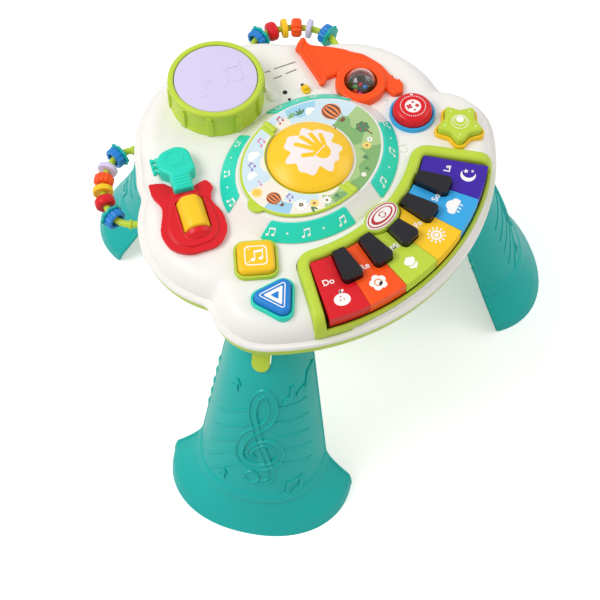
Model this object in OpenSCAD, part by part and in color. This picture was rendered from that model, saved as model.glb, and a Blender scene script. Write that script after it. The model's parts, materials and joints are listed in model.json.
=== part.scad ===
// Musical activity table for a toddler: a play deck on three hollow legs.
// Millimetres, +Z up. The origin lies on the floor under the middle of the footprint.
// Deck places are measured from the middle of the picture disc; the piano is on the -Y side.

/* [Deck] */
// Height of the flat play deck above the floor
deck_z = 308; // [290:1:330]
// Height of the white top, from its seam to the deck
top_h = 28; // [25:1:34]
// Depth of the lime pan under the seam
pan_h = 22; // [20:1:26]
// Wall of the white top and of the pan
wall = 2.5; // [2:0.1:3]
// Width of the lip that runs round the white top
lip_w = 6; // [5:0.5:7]
// Height of that lip
lip_h = 5; // [4:0.5:6]
// Width of the rounded shoulder inside the lip
shoulder_w = 22; // [18:1:24]
// Radius of the curved front edge
front_r = 245; // [240:1:250]
// Radius of the two front corner lobes
corner_r = 59; // [55:1:62]
// Radius of the two side lobes
side_r = 106; // [103:1:109]
// Radius of the back edge
back_r = 139.5; // [137:0.5:142]

/* [Legs] */
// Distance from the middle of the legs to the crest of a leg under the pan
leg_top_out = 190; // [186:1:194]
// Half width of a leg under the pan
leg_top_half = 38; // [34:1:42]
// Distance from the middle of the legs to the open edges at the top
leg_top_in = 148; // [144:1:150]
// Distance from the middle of the legs to the open edges at the floor
leg_foot_in = 218; // [212:1:224]
// Distance from the middle of the legs to the toe of a foot
leg_foot_out = 300.6; // [290:0.2:310]
// Half width of a foot at the floor
leg_foot_half = 104.5; // [98:0.5:110]
// Wall of a leg
leg_wall = 3; // [2.4:0.1:4]
// Height of the band round a leg
band_z = 40; // [34:1:60]
// Width of the band
band_w = 12; // [8:1:16]
// Radius of the lime release tab on a leg
latch_r = 9.5; // [8:0.5:11]
// Length of a release tab above its round end
latch_drop = 26; // [12:1:30]
// Travel of a release tab when it is pressed in
latch_travel = 2.5; // [2:0.1:2.8]

/* [Picture disc] */
// Half length of the raised plate at the deck
plate_a = 104; // [100:1:107]
// Half depth of the raised plate at the deck
plate_b = 83.8; // [81:0.2:84.2]
// Height of the raised plate
plate_h = 16; // [14:1:20]
// Width of the sloping flank of the plate
flank_w = 18; // [16:1:19]
// Radius of the dome button
dome_r = 45; // [42:1:46]
// Height of the dome above its side wall
dome_h = 12; // [9:1:16]
// Height of the side wall of the dome button above the plate
dome_side = 3.6; // [3.4:0.1:5]
// Thickness of the flip page
page_t = 3; // [2.4:0.1:3.2]
// Radius of the grip tab on the flip page
page_tab_r = 10; // [8:1:12]

/* [Drum] */
// Distance from the picture disc to the middle of the drum
drum_y = 135; // [134:0.5:137]
// Radius of the drum pad
drum_pad_r = 44.5; // [42:0.5:45]
// Outer radius of the drum shell
drum_r = 50.5; // [49.5:0.5:51]
// Height of the drum above the deck
drum_h = 35; // [28:1:40]

/* [Piano] */
// Distance from the picture disc to the middle of the key fan
fan_y = 72; // [70:0.5:73]
// Distance from the front edge of the deck to the front of the keys
key_inset = 12; // [11:0.5:14]
// Gap between the raised plate and the frame round the keys
piano_gap = 6.7; // [5.4:0.1:8]
// Angle from one key to the next
key_pitch = 10.2; // [9.8:0.1:10.3]
// Height of the colour keys above the deck
key_h = 3.5; // [2.5:0.5:5]
// Width of a black key near its front
black_w = 22; // [19:0.5:23]
// Width of a black key at its back
black_back_w = 14; // [13.5:0.5:16]
// Length of the black keys
black_len = 36.5; // [33:0.5:40]
// Height of the black keys above the deck
black_h = 11; // [9:1:13]
// Distance from the back of the keys to the line of hinge ribs
hinge_in = 14.5; // [13.5:0.5:17]
// Radius of a hinge rib
rib_r = 3; // [2.6:0.1:3.2]
// Width of the frame round the keys
frame_w = 12.5; // [11:0.5:13]
// Height of the frame above the deck
frame_h = 8; // [7:0.5:10]

/* [Buttons] */
// Side of the square button
square_side = 38; // [34:1:40]
// Height of the square button above the deck
square_h = 11; // [9:1:14]
// Length of the triangle button from its back to its tip
triangle_len = 40; // [36:1:42]
// Height of the triangle button above the deck
triangle_h = 11; // [9:1:14]
// Radius of the round button
round_r = 21; // [18:0.5:22]
// Height of the round button above the deck
round_h = 15; // [12:1:18]
// Radius of the tips of the star button
star_r = 27; // [24:0.5:28]
// Height of the star button above the deck
star_h = 13; // [10:1:16]
// Width of the plinth round a button
plinth_w = 3; // [2.4:0.2:3.4]
// Height of the plinths above the deck
plinth_h = 5; // [4:0.5:7]
// Depth of the plinths under the deck
plinth_drop = 10; // [8:0.5:12]
// Half length of the oval mode button
mode_a = 20.6; // [18:0.2:21.4]
// Half width of the oval mode button
mode_b = 12; // [11:0.2:12.4]

/* [Guitar and horn] */
// Angle of the guitar neck from +Y, clockwise
guitar_turn = 31; // [27:1:34]
// Height of the guitar body above the deck
guitar_h = 4; // [3:0.5:6]
// Height of the guitar neck above the deck
neck_h = 16; // [12:1:18]
// Radius of the guitar's roller
roller_r = 14; // [12.5:0.5:14.5]
// Length of the roller
roller_len = 38; // [34:1:39]
// Radius of the roller's axle
axle_r = 2.5; // [2:0.1:3]
// Height of the horn above the deck
horn_h = 6; // [4:0.5:8]
// Height of the ring on the horn above the deck
ring_h = 10; // [9:0.5:12]
// Outer radius of the ring on the horn
ring_r = 27.5; // [26:0.5:28.5]
// Radius of the clear ball
ball_r = 17; // [15:0.5:17.5]

/* [Bead bars] */
// Radius of a bead bar
bar_r = 3.7; // [3.2:0.1:4.2]
// Radius of the bends at the ends of a bar
bar_bend_r = 28; // [26:1:30]
// Height of a bar under the seam
bar_drop = 8; // [7.5:0.5:10]
// Clearance of a bead on its bar, in radius
bead_gap = 0.8; // [0.6:0.1:1]

/* [Fits] */
// Gap between fixed pieces and the holes they fill
fit = 0.3; // [0.2:0.05:0.4]
// Gap round a button or key that moves
slide_gap = 0.4; // [0.3:0.05:0.5]
// Running clearance of a pin, in radius
run = 0.05; // [0.03:0.01:0.08]

/* [Hidden] */

// Smoothness of round work; the tools keep true curves above 12
$fn = 64;
over = 1;

// Colours
white = "#f3f0ec";
lime = "#c2d845";
turquoise = "#1fb8b0";
aqua = "#2ae0c3";
orange = "#fb5a1b";
red = "#e01a28";
yellow = "#fbcf32";
blue = "#1877d8";
lilac = "#d9cfeb";
purple = "#3b1ba8";
black = "#1c1a22";

// Levels
seam_z = deck_z - top_h;
pan_z = seam_z - pan_h;
floor_in = pan_z + wall;
deck_under = deck_z - wall;
plate_z = deck_z + plate_h;

// Deck outline: a front arc, then two pairs of lobes and a back arc, one half mirrored
outline_n = 96;
blend_power = 80;
front_c = [0, 60];
corner_turn = -42.4;
corner_c = front_c + (front_r - corner_r) * [cos(corner_turn), sin(corner_turn)];
side_c = [88, 20];
recess_c = [105, 112];
recess_r = 30;
back_c = [0, 67];

function dir(a) = [cos(a), sin(a)];

// Distance from the origin to a circle's far side along the direction a
function reach(c, r, a) =
  let (along = c * dir(a), rest = r * r - c * c + along * along)
  rest > 0 ? max(0, along + sqrt(rest)) : 0;

function blended(values) =
  100 * pow([for (v = values) pow(v / 100, blend_power)] * [for (v = values) 1], 1 / blend_power);

// Radius of the deck outline at the angle a, drawn in by inset
function half_outline(a, inset) =
  let (meet = front_c + (front_r - inset) * dir(corner_turn))
  a < atan2(meet.y, meet.x)
    ? reach(front_c, front_r - inset, a)
    : blended([reach(corner_c, corner_r - inset, a),
               reach(side_c, side_r - inset, a),
               reach(recess_c, recess_r - inset, a),
               reach(back_c, back_r - inset, a)]);

function outline(inset, z) =
  [for (i = [0 : outline_n - 1])
    let (a = -90 + 360 * i / outline_n,
         r = half_outline(a <= 90 ? a : 180 - a, inset))
    [r * cos(a), r * sin(a), z]];

function ellipse_ring(a, b, z, n = 72) =
  [for (i = [0 : n - 1]) [a * cos(360 * i / n), b * sin(360 * i / n), z]];

// A closed solid through rings of equal length, the lowest first. A strip's ends are ladders
// between the ring's first half and its second, for sections that bend round a hollow.
module loft(rings, strip = false) {
  n = len(rings[0]);
  last = (len(rings) - 1) * n;
  lowest = strip
    ? [for (i = [0 : n / 2 - 2]) each [[i, i + 1, n - 2 - i], [i, n - 2 - i, n - 1 - i]]]
    : [[for (i = [0 : n - 1]) i]];
  polyhedron(
    points = [for (ring = rings) each ring],
    faces = concat(
      lowest,
      [for (k = [0 : len(rings) - 2], i = [0 : n - 1])
        [k * n + i, (k + 1) * n + i, (k + 1) * n + (i + 1) % n]],
      [for (k = [0 : len(rings) - 2], i = [0 : n - 1])
        [k * n + i, (k + 1) * n + (i + 1) % n, k * n + (i + 1) % n]],
      [for (f = lowest) [for (i = [len(f) - 1 : -1 : 0]) last + f[i]]]),
    convexity = 10);
}

module prism(points, z0, z1) {
  translate([0, 0, z0]) linear_extrude(z1 - z0) polygon(points);
}

module tube(r0, r1, z0, z1) {
  translate([0, 0, z0]) difference() {
    cylinder(r = r1, h = z1 - z0);
    translate([0, 0, -over]) cylinder(r = r0, h = z1 - z0 + 2 * over);
  }
}

// Outlines with round corners: grown() moves every side out, rounded() turns corners to arcs
function way(p, q) = (q - p) / norm(q - p);

function mitred(p, q, r, d) =
  let (a = way(p, q), b = way(q, r))
  q + [a.y + b.y, -(a.x + b.x)] * d / (1 + a * b);

function grown(pts, d) =
  let (n = len(pts))
  [for (i = [0 : n - 1]) mitred(pts[(i + n - 1) % n], pts[i], pts[(i + 1) % n], d)];

function corner_arc(p, q, r, radius, steps) =
  let (a = way(p, q), b = way(q, r),
       bend = atan2(a.x * b.y - a.y * b.x, a * b),
       side = sign(bend),
       start = q - a * radius * tan(abs(bend) / 2),
       middle = start + side * radius * [-a.y, a.x])
  abs(bend) < 1 ? [q] :
  [for (k = [0 : steps])
    let (turn = bend * k / steps)
    middle + radius * side * [a.y * cos(turn) + a.x * sin(turn),
                              a.y * sin(turn) - a.x * cos(turn)]];

function rounded(pts, radius, steps = 6) =
  let (n = len(pts))
  [for (i = [0 : n - 1])
    each corner_arc(pts[(i + n - 1) % n], pts[i], pts[(i + 1) % n],
                    is_list(radius) ? radius[i] : radius, steps)];

function ellipse_pts(a, b, n = 64) = [for (i = [0 : n - 1]) [a * cos(360 * i / n), b * sin(360 * i / n)]];

// Legs: a superellipse section that opens inwards, leaning out and flaring at the foot
leg_mid_y = 10;
leg_angles = [90, 210, 330];
leg_power = 2.2;
leg_lean = 0.5;
leg_bow = 0.0006;
flare_h = 100;
flange_top = 50;
flange_bottom = 14;
band_proud = 1.2;
section_steps = 22;
plug_in = 6;
plug_len = 16;
plug_half = 18;
plug_h = 12;

foot_flare = leg_foot_out - leg_top_out - leg_lean * pan_z + leg_bow * pan_z * pan_z;
leg_spread = 0.158;
foot_flange = leg_foot_half - leg_top_half - leg_spread * pan_z;

function crest(z) =
  leg_top_out + leg_lean * (pan_z - z) - leg_bow * pow(pan_z - z, 2)
  + foot_flare * pow(max(0, 1 - z / flare_h), 2);
function half_width(z) =
  leg_top_half + leg_spread * (pan_z - z)
  + foot_flange * pow(min(1, max(0, (flange_top - z) / (flange_top - flange_bottom))), 1.5);
function open_edge(z) = leg_top_in + (leg_foot_in - leg_top_in) * (pan_z - z) / pan_z;
function soft(v) = sign(v) * pow(abs(v), 2 / leg_power);

// One half loop of the section at height z, proud of the plain wall by d
function leg_curve(z, d) =
  [for (i = [0 : section_steps])
    let (t = -90 + 180 * i / section_steps)
    [open_edge(z) + (crest(z) + d - open_edge(z)) * soft(cos(t)), (half_width(z) + d) * soft(sin(t)), z]];
function leg_ring(z, d) =
  let (inner = leg_curve(z, -leg_wall))
  concat(leg_curve(z, d), [for (i = [section_steps : -1 : 0]) inner[i]]);

// The footprint's reach along an outward direction, and the middle of the footprint
function foot_reach(turn) =
  let (q = leg_power / (leg_power - 1))
  leg_foot_in * cos(turn)
  + pow(pow((leg_foot_out - leg_foot_in) * cos(turn), q) + pow(leg_foot_half * sin(turn), q), 1 / q);
mid_y = leg_mid_y + (leg_foot_out - foot_reach(60)) / 2;

module on_table() {
  translate([0, -mid_y, 0]) children();
}

module at_leg(i) {
  on_table() translate([0, leg_mid_y, 0]) rotate(leg_angles[i]) children();
}

// Latch: a tab in a notch of the leg, with a stem that hooks over the pan floor
tab_out = leg_top_out + 2.5;
tab_t = 3;
tab_low = pan_z - latch_drop - latch_r;
tab_lean = crest(tab_low) - leg_top_out;
stem_w = 12;
stem_out = leg_top_out - 10;
stem_t = 4;
shelf_h = 3.5;
hook_h = 3;
hook_reach = latch_travel - fit;

// Screws: each joins a boss of the pan to a boss of the white top
screw_places = [[85, 20], [85, -50], [88, 75]];
boss_r = 4.6;
boss_z = seam_z - 5;
head_r = 3.5;
head_h = 2.4;
shank_r = 1.5;
screw_len = 12;
shoulder_drop = 3;
shoulder_z = boss_z - shoulder_drop;

// Battery bay in the pan, and the board over it
cell_r = 7.25;
cell_len = 50.5;
cell_pitch = 15;
cell_count = 3;
bay_w = cell_pitch * cell_count + 1;
bay_l = cell_len + 1.5;
bay_wall = 2;
bay_h = 2 * cell_r + 2;
board_w = 124;
board_l = 96;
board_t = 1.6;
board_z = seam_z + 6;
board_post_r = 4;
board_post_in = 6;

// Speaker under its sound slots
speaker_c = [76, 108];
speaker_r = 20;
speaker_h = 9;
magnet_r = 12;
magnet_h = 7;
slot_w = 1.6;
sound_slots = [[[60, 121], [66, 118]], [[70, 117], [94, 106]], [[60, 108], [70, 104]],
               [[74, 103], [87, 98]]];

// Volume switch
switch_c = [72.5, 71.5];
switch_turn = 22;
switch_travel = 8;
knob_w = 9;
knob_l = 11.5;
knob_h = 5;
knob_neck = 4;

// Raised plate: its flank, the light arcs on it and the page hinge
plate_top_a = plate_a - flank_w;
plate_top_b = plate_b - flank_w;
arc_t = 1.7;
arc_edge = 1.2;
arc_gap_x = 20;
arc_gap_y = 22;
page_lift = 0.4;
page_margin = 4;
page_z = plate_z + page_lift + page_t / 2;
knuckle_r = 3.6;
hinge_pin_r = 1.5;
knuckle_len = 15;
knuckle_mid = dome_r + 11.5;
ear_t = 1.6;
ear_rise = 2;
flange_t = 2.2;
flange_w = 2.5;

// Piano
function fan(r, a) = [r * sin(a), fan_y - r * cos(a)];
function sector(r0, r1, a0, a1, n = 12) =
  concat([for (i = [0 : n]) fan(r1, a0 + (a1 - a0) * i / n)],
         [for (i = [n : -1 : 0]) fan(r0, a0 + (a1 - a0) * i / n)]);
key_count = 6;
well_gap = 1.5;
key_front_r = front_r - front_c.y + fan_y - key_inset;
key_back_r = fan_y + plate_b + piano_gap + frame_w + well_gap;
black_front_r = key_back_r + black_len;
hinge_r = key_back_r + hinge_in;
fan_half = key_pitch * key_count / 2;
well_half = fan_half + 0.8;
key_side = asin(slide_gap * 0.75 / key_front_r);
key_under = deck_z - 6;
skirt_z = deck_z - 11;
skirt_t = 3.5;
front_bar_z = deck_z - 12;
front_bar_w = 3.9;
front_bar_gap = 0.6;
frame_low = seam_z + 4;
frame_side = asin(frame_w / key_front_r);
frame_out_r = key_front_r + front_bar_gap + front_bar_w;
frame_back_r = key_back_r - well_gap - frame_w;
frame_back_n = 10;
mode_in = 5.5;
mode_y = fan_y - key_back_r + mode_in;
mode_rim = 2.2;
mode_flange = 1.6;
beam_w = 8;
beam_h = 6.8;
post_r = 4.5;
neck_rib = 8;
black_rib = 13;
saddle_len = 2 * hinge_r * sin(key_pitch);

// A black key's outline about the fan's middle: wider at its front, with the front corners cut
black_bevel = 4.5;
black_nose = 0.8;
black_pts = [[-black_w * black_nose / 2, -black_front_r], [black_w * black_nose / 2, -black_front_r],
             [black_w / 2, -black_front_r + black_bevel], [black_back_w / 2, -key_back_r],
             [-black_back_w / 2, -key_back_r], [-black_w / 2, -black_front_r + black_bevel]];
black_round = [3, 3, 4, 1.5, 1.5, 4];
function black_outline(d) =
  rounded(grown(black_pts, d), [for (r = black_round) r + d]);

// The frame's outer outline, with each corner's own rounding
frame_corner = [for (s = [1, -1]) fan(frame_back_r + 4, s * (well_half + frame_side + 0.8))];
frame_pts = concat(
  [for (i = [0 : frame_back_n])
    fan(frame_out_r, (well_half + frame_side) * (2 * i / frame_back_n - 1))],
  [frame_corner[0]],
  [for (i = [1 : frame_back_n - 1]) fan(frame_back_r, well_half * (1 - 2 * i / frame_back_n))],
  [frame_corner[1]]);
frame_round = concat([5], [for (i = [1 : frame_back_n - 1]) 30], [5], [16],
                     [for (i = [1 : frame_back_n - 1]) 30], [16]);
function frame_outline(d) = rounded(grown(frame_pts, d), [for (r = frame_round) max(1, r + d)]);

// Deck buttons: corner points about each one's own middle
square_c = [-122.5, -37.5];
square_turn = 47;
triangle_c = [-140, -83];
triangle_turn = 12;
round_c = [124.6, -35];
star_c = [143.5, -84.3];
square_pts = [for (i = [0 : 3])
  square_side / sqrt(2) * dir(square_turn + 90 * i - 135)];
square_round = 8;
triangle_pts = [for (i = [-1 : 1])
  triangle_len * (i == 0 ? 0.7 : 0.78) * dir(triangle_turn + 125 * i)];
triangle_round = 8;
star_tips = 5;
star_turn = 4;
star_waist = 0.62;
star_pts = [for (i = [0 : 2 * star_tips - 1])
  star_r * (i % 2 == 0 ? 1 : star_waist) * dir(star_turn + 180 * i / star_tips)];
star_round = 4;

function square_outline(d) = rounded(grown(square_pts, d), square_round + d);
function triangle_outline(d) = rounded(grown(triangle_pts, d), triangle_round + d);
function star_outline(d) =
  rounded(grown(star_pts, d), [for (i = [0 : 2 * star_tips - 1]) star_round + (i % 2 == 0 ? d : -d / 2)]);

// A plinth set in the deck and the button that slides in it, both from the same outline
plinth_z = deck_z - plinth_drop;
plinth_hole = slide_gap + plinth_w + fit;

module plinth(inner, outer) {
  difference() {
    prism(outer, plinth_z, deck_z + plinth_h);
    prism(inner, plinth_z - over, deck_z + plinth_h + over);
  }
}

module push_button(body, flange, height) {
  prism(body, plinth_z - fit - flange_t, deck_z + height);
  prism(flange, plinth_z - fit - flange_t, plinth_z - fit);
}

button_flange = 2.4;

// Guitar, in its own frame with +Y along the neck
guitar_c = [-132, 39];
body_pts = [[-34, 57], [-20, 54], [-9, 43], [10, 42], [24, 47], [28, 36], [20, 24], [30, 2],
            [29, -20], [17, -34], [-14, -36], [-32, -26], [-37, -6], [-26, 25], [-34, 42]];
body_round = [3, 6, 4, 8, 5, 5, 12, 14, 14, 14, 16, 12, 18, 20, 8];
neck_pts = [[-12, 36], [9, 36], [9, 53], [17, 58], [15, 86], [2, 91], [-15, 87], [-22, 76],
            [-20, 64], [-12, 56]];
neck_round = [2, 2, 3, 5, 5, 5, 5, 4, 3, 3];
peg_r = 3.2;
peg_len = 13;
peg_x = -14;
peg_y = [68, 75, 82];
hump_r = 18.5;
hump_back = -23;
hump_front = 34;
roller_mid = 6;
roller_z = deck_z + 6;
bearing_len = 6;
roller_gap = 0.6;
fret_count = 4;
fret_t = 0.8;

module at_guitar() {
  on_table() translate([guitar_c.x, guitar_c.y, 0]) rotate(-guitar_turn) children();
}

// Horn: a bell that narrows round the right side to its mouthpiece, and a ring for the ball
horn_pts = [[86, 60], [97, 64], [104, 60], [120, 56], [134, 34], [130, 8], [128, -4], [137, -12],
            [149, -2], [147, 12], [152, 32], [150, 56], [134, 86], [120, 106], [119, 119],
            [105, 113], [89, 68]];
horn_round = [2, 4, 6, 10, 14, 8, 5, 5, 5, 10, 22, 22, 30, 8, 4, 3, 2];
ball_c = [116, 31];
ball_wall = 1.5;
ball_gap = 1;
ball_z = deck_z + ring_h / 2;
ball_pin_r = 2;
ball_pin_len = 3.5;
ball_turn = 40;
rattle_r = 3;
rattle_ring = 6.6;

// Bead bars: two bends and a long arc between them, level with the pan's side
bar_ends = [[92, 172], [161, 105]];
bar_half = norm(bar_ends[1] - bar_ends[0]) / 2;
bar_mid = (bar_ends[0] + bar_ends[1]) / 2;
bar_turn = atan2(bar_ends[1].y - bar_ends[0].y, bar_ends[1].x - bar_ends[0].x);
bar_z = seam_z - bar_drop;
bar_bend = 60;
bar_arc_r = bar_bend_r + (bar_half - bar_bend_r) / cos(bar_bend);
bar_root = 9;
bend_len = bar_bend_r * bar_bend * PI / 180;
arc_len = bar_arc_r * (180 - 2 * bar_bend) * PI / 180;

// Place and heading of the bar at a distance from its back end, in the bar's own frame
function bar_heading(s) =
  s < bend_len ? 90 - s / bar_bend_r * 180 / PI :
  s < bend_len + arc_len ? 90 - bar_bend - (s - bend_len) / bar_arc_r * 180 / PI :
  -(90 - bar_bend) - (s - bend_len - arc_len) / bar_bend_r * 180 / PI;
bend_c = [for (s = [-1, 1]) [s * (bar_half - bar_bend_r), 0]];
arc_c = [0, -(bar_arc_r - bar_bend_r) * sin(bar_bend)];
function bar_place(s) =
  let (out = dir(bar_heading(s) + 90))
  s < bend_len ? bend_c[0] + bar_bend_r * out :
  s < bend_len + arc_len ? arc_c + bar_arc_r * out :
  bend_c[1] + bar_bend_r * out;
bead_s = [22, 41, 56, 70, 85, 107];

module at_bar(side) {
  on_table() mirror([side < 0 ? 1 : 0, 0, 0])
    translate([bar_mid.x, bar_mid.y, bar_z]) rotate(bar_turn) children();
}

// The bar's own frame has the bow on +Y; the bead's axis lies along +Z here
module at_bead(side, i) {
  at_bar(side) translate([bar_place(bead_s[i]).x, bar_place(bead_s[i]).y, 0])
    rotate(bar_heading(bead_s[i])) rotate([0, 90, 0]) children();
}

bar_sides = 20;
bar_rings = 24;

function bar_ring(s) =
  let (end = 2 * bend_len + arc_len,
       t = min(end, max(0, s)),
       heading = bar_heading(t),
       c = bar_place(t) + (s - t) * dir(heading))
  [for (i = [0 : bar_sides - 1])
    let (across = c + bar_r * cos(360 * i / bar_sides) * dir(heading + 90))
    [across.x, across.y, bar_r * sin(360 * i / bar_sides)]];

module bar_path() {
  end = 2 * bend_len + arc_len;
  loft(concat([bar_ring(-bar_root)],
              [for (i = [0 : bar_rings]) bar_ring(end * i / bar_rings)],
              [bar_ring(end + bar_root)]));
}

module bead_hole(h) {
  translate([0, 0, -h]) cylinder(r = bar_r + bead_gap, h = 2 * h);
}

// Bead shapes along the bar
disc_t = 6;
disc_r = 11;
barrel_t = 12;
barrel_r = 11;
ring_t = 6.5;
ring_rim = 2.5;
ring_web = 4.5;
cup_r = 11.5;
cup_t = 9;
cup_base = 3;
cup_hole_r = 7.5;
wavy_r = 14;
wavy_t = 3.2;
flute_n = 12;
flute_depth = 1;
wavy_lobes = 8;
wave_depth = 1.6;

module disc_bead() {
  difference() {
    intersection() {
      translate([0, 0, -disc_t / 2]) cylinder(r = disc_r, h = disc_t);
      sphere(r = disc_r + 0.6);
    }
    bead_hole(disc_t);
  }
}

module barrel_bead() {
  difference() {
    intersection() {
      translate([0, 0, -barrel_t / 2]) cylinder(r = barrel_r, h = barrel_t);
      sphere(r = barrel_r + 0.9);
    }
    bead_hole(barrel_t);
  }
}

// A round outline that waves in and out n times by depth
module waved(r, depth, n) {
  steps = 8 * n;
  polygon([for (i = [0 : steps - 1])
    (r - depth / 2 + depth / 2 * cos(360 * i * n / steps)) * dir(360 * i / steps)]);
}

module fluted_bead() {
  difference() {
    intersection() {
      translate([0, 0, -barrel_t / 2]) linear_extrude(barrel_t) waved(barrel_r, flute_depth, flute_n);
      sphere(r = barrel_r + 0.9);
    }
    bead_hole(barrel_t);
  }
}

module ring_bead() {
  difference() {
    translate([0, 0, -ring_t / 2]) cylinder(r = disc_r, h = ring_t);
    for (s = [-1, 1]) translate([0, 0, s * ring_t])
      cylinder(r = disc_r - ring_rim, h = 2 * ring_t - ring_web, center = true);
    bead_hole(ring_t);
  }
}

module cup() {
  difference() {
    linear_extrude(cup_t) waved(cup_r, flute_depth, flute_n);
    translate([0, 0, cup_base]) cylinder(r = cup_hole_r, h = cup_t);
    bead_hole(cup_base + over);
  }
}

module wavy_disc() {
  difference() {
    linear_extrude(wavy_t) waved(wavy_r, wave_depth, wavy_lobes);
    bead_hole(wavy_t + over);
  }
}

// A wavy disc and a fluted cup in one bead; side turns the cup to the bar's back end
module cup_pair(side) {
  mirror([0, 0, side]) translate([0, 0, (wavy_t - cup_t) / 2]) {
    cup();
    translate([0, 0, -wavy_t]) wavy_disc();
  }
}

// White top: a lip, a rounded shoulder and a flat deck with the openings of every instrument
top_steps = 6;
top_under_steps = 4;
function top_outer() = concat(
  [outline(0, seam_z), outline(0, seam_z + lip_h - 1.5), outline(1.2, seam_z + lip_h - 0.4)],
  [for (k = [0 : top_steps])
    let (t = 90 * k / top_steps)
    outline(lip_w + shoulder_w * (1 - cos(t)), seam_z + lip_h + (top_h - lip_h) * sin(t))]);
function top_inner() = concat(
  [outline(wall, seam_z - over), outline(wall, seam_z + lip_h - wall)],
  [for (k = [0 : top_under_steps])
    let (t = 90 * k / top_under_steps)
    outline(lip_w + wall + (shoulder_w - wall) * (1 - cos(t)),
            seam_z + lip_h - wall + (top_h - lip_h) * sin(t) + (k == 0 ? 0.01 : 0))]);

module deck_cut(points, c = [0, 0]) {
  translate([c.x, c.y, 0]) prism(points, deck_under - over, deck_z + over);
}

module plinth_cut(points, c) {
  translate([c.x, c.y, 0]) prism(points, plinth_z - 2 * over, deck_z + over);
}

module slot(a, b, w) {
  d = way(a, b);
  s = [-d.y, d.x] * w / 2;
  deck_cut([a + s, a - s, b - s, b + s]);
}

module screw_sites() {
  for (p = screw_places, s = [-1, 1]) translate([s * p.x, p.y, 0]) children();
}

module top_shell() {
  color(white) on_table() difference() {
    union() {
      difference() {
        loft(top_outer());
        loft(top_inner());
      }
      screw_sites() translate([0, 0, boss_z]) cylinder(r = boss_r, h = deck_z - 1 - boss_z);
    }
    prism(frame_outline(fit), seam_z - over, deck_z + over);
    translate([0, drum_y, 0]) cylinder(r = drum_r + fit, h = deck_z + over);
    deck_cut(ellipse_pts(plate_top_a - 4, plate_top_b - 4));
    mode_oval(slide_gap + mode_rim + fit, seam_z, deck_z + over);
    plinth_cut(square_outline(plinth_hole), square_c);
    plinth_cut(triangle_outline(plinth_hole), triangle_c);
    plinth_cut(star_outline(plinth_hole), star_c);
    translate([round_c.x, round_c.y, plinth_z - 2 * over])
      cylinder(r = round_r + plinth_hole, h = plinth_drop + 3 * over);
    translate([guitar_c.x, guitar_c.y, deck_under - over]) rotate(-guitar_turn)
      translate([-roller_r - roller_gap, roller_mid - roller_len / 2 - roller_gap, 0])
        cube([2 * (roller_r + roller_gap), roller_len + 2 * roller_gap, wall + 2 * over]);
    translate([ball_c.x, ball_c.y, deck_under - over]) cylinder(r = ball_r + ball_gap, h = wall + 2 * over);
    for (s = sound_slots) slot(s[0], s[1], slot_w);
    slot(switch_c - (knob_neck / 2 + fit) * dir(90 - switch_turn),
         switch_c + (switch_travel + knob_neck / 2 + fit) * dir(90 - switch_turn), knob_neck + 2 * fit);
    screw_sites() translate([0, 0, boss_z - over])
      cylinder(r = shank_r + run, h = screw_len - shoulder_drop + 2 * over);
  }
}

// Lime pan: a rounded tray with bosses, the battery bay and the slots for legs and latches
pan_steps = 4;
pan_round = 11;
function pan_rings(w, rise) =
  [for (k = [0 : pan_steps])
    let (t = 90 * k / pan_steps,
         z = pan_z + w + (pan_h - w) * (1 - cos(t)))
    outline(1 + w + pan_round * (1 - sin(t)), k == pan_steps ? z + rise : z)];

module board_sites() {
  for (x = [-1, 1], y = [-1, 1])
    translate([x * (board_w / 2 - board_post_in), y * (board_l / 2 - board_post_in), 0]) children();
}

module bottom_shell() {
  color(lime) difference() {
    union() {
      on_table() {
        difference() {
          loft(pan_rings(0, 0));
          loft(pan_rings(wall, over));
        }
        screw_sites() translate([0, 0, floor_in - 1]) cylinder(r = boss_r, h = boss_z - floor_in + 1);
        board_sites() translate([0, 0, floor_in - 1])
          cylinder(r = board_post_r, h = board_z - floor_in + 1);
        translate([-bay_w / 2 - bay_wall, -bay_l / 2 - bay_wall, floor_in - 1])
          cube([bay_w + 2 * bay_wall, bay_l + 2 * bay_wall, bay_h + 1]);
      }
    }
    on_table() {
      translate([-bay_w / 2, -bay_l / 2, pan_z - over]) cube([bay_w, bay_l, bay_h + wall + 2 * over]);
      screw_sites() {
        translate([0, 0, pan_z - over]) cylinder(r = head_r + fit, h = shoulder_z - pan_z + over);
        cylinder(r = shank_r + fit, h = boss_z + over);
      }
    }
    for (i = [0 : 2]) at_leg(i) {
      translate([leg_top_in + plug_in - fit, -plug_half - fit, pan_z - over])
        cube([plug_len + 2 * fit, 2 * (plug_half + fit), plug_h + fit + over]);
      translate([stem_out - stem_t - latch_travel - fit, -stem_w / 2 - fit, pan_z - over])
        cube([stem_t + latch_travel + 2 * fit, stem_w + 2 * fit, over + wall + hook_h + 2 * fit]);
      translate([stem_out - stem_t, -stem_w / 2 - fit, floor_in])
        cube([stem_t + hook_reach + fit, stem_w + 2 * fit, hook_h + 2 * fit]);
    }
    for (side = [-1, 1], s = [-1, 1]) at_bar(side) translate([s * bar_half, over, 0]) rotate([90, 0, 0])
      cylinder(r = bar_r + run, h = bar_root + 3 * over);
  }
}

// Leg: a shell that opens inwards, a lid at its top and a plug that fills the pan's socket
leg_levels = [0, 7, flange_bottom, 19, 24, 29, 34];
leg_upper = [75, 100, 150, 200];

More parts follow.
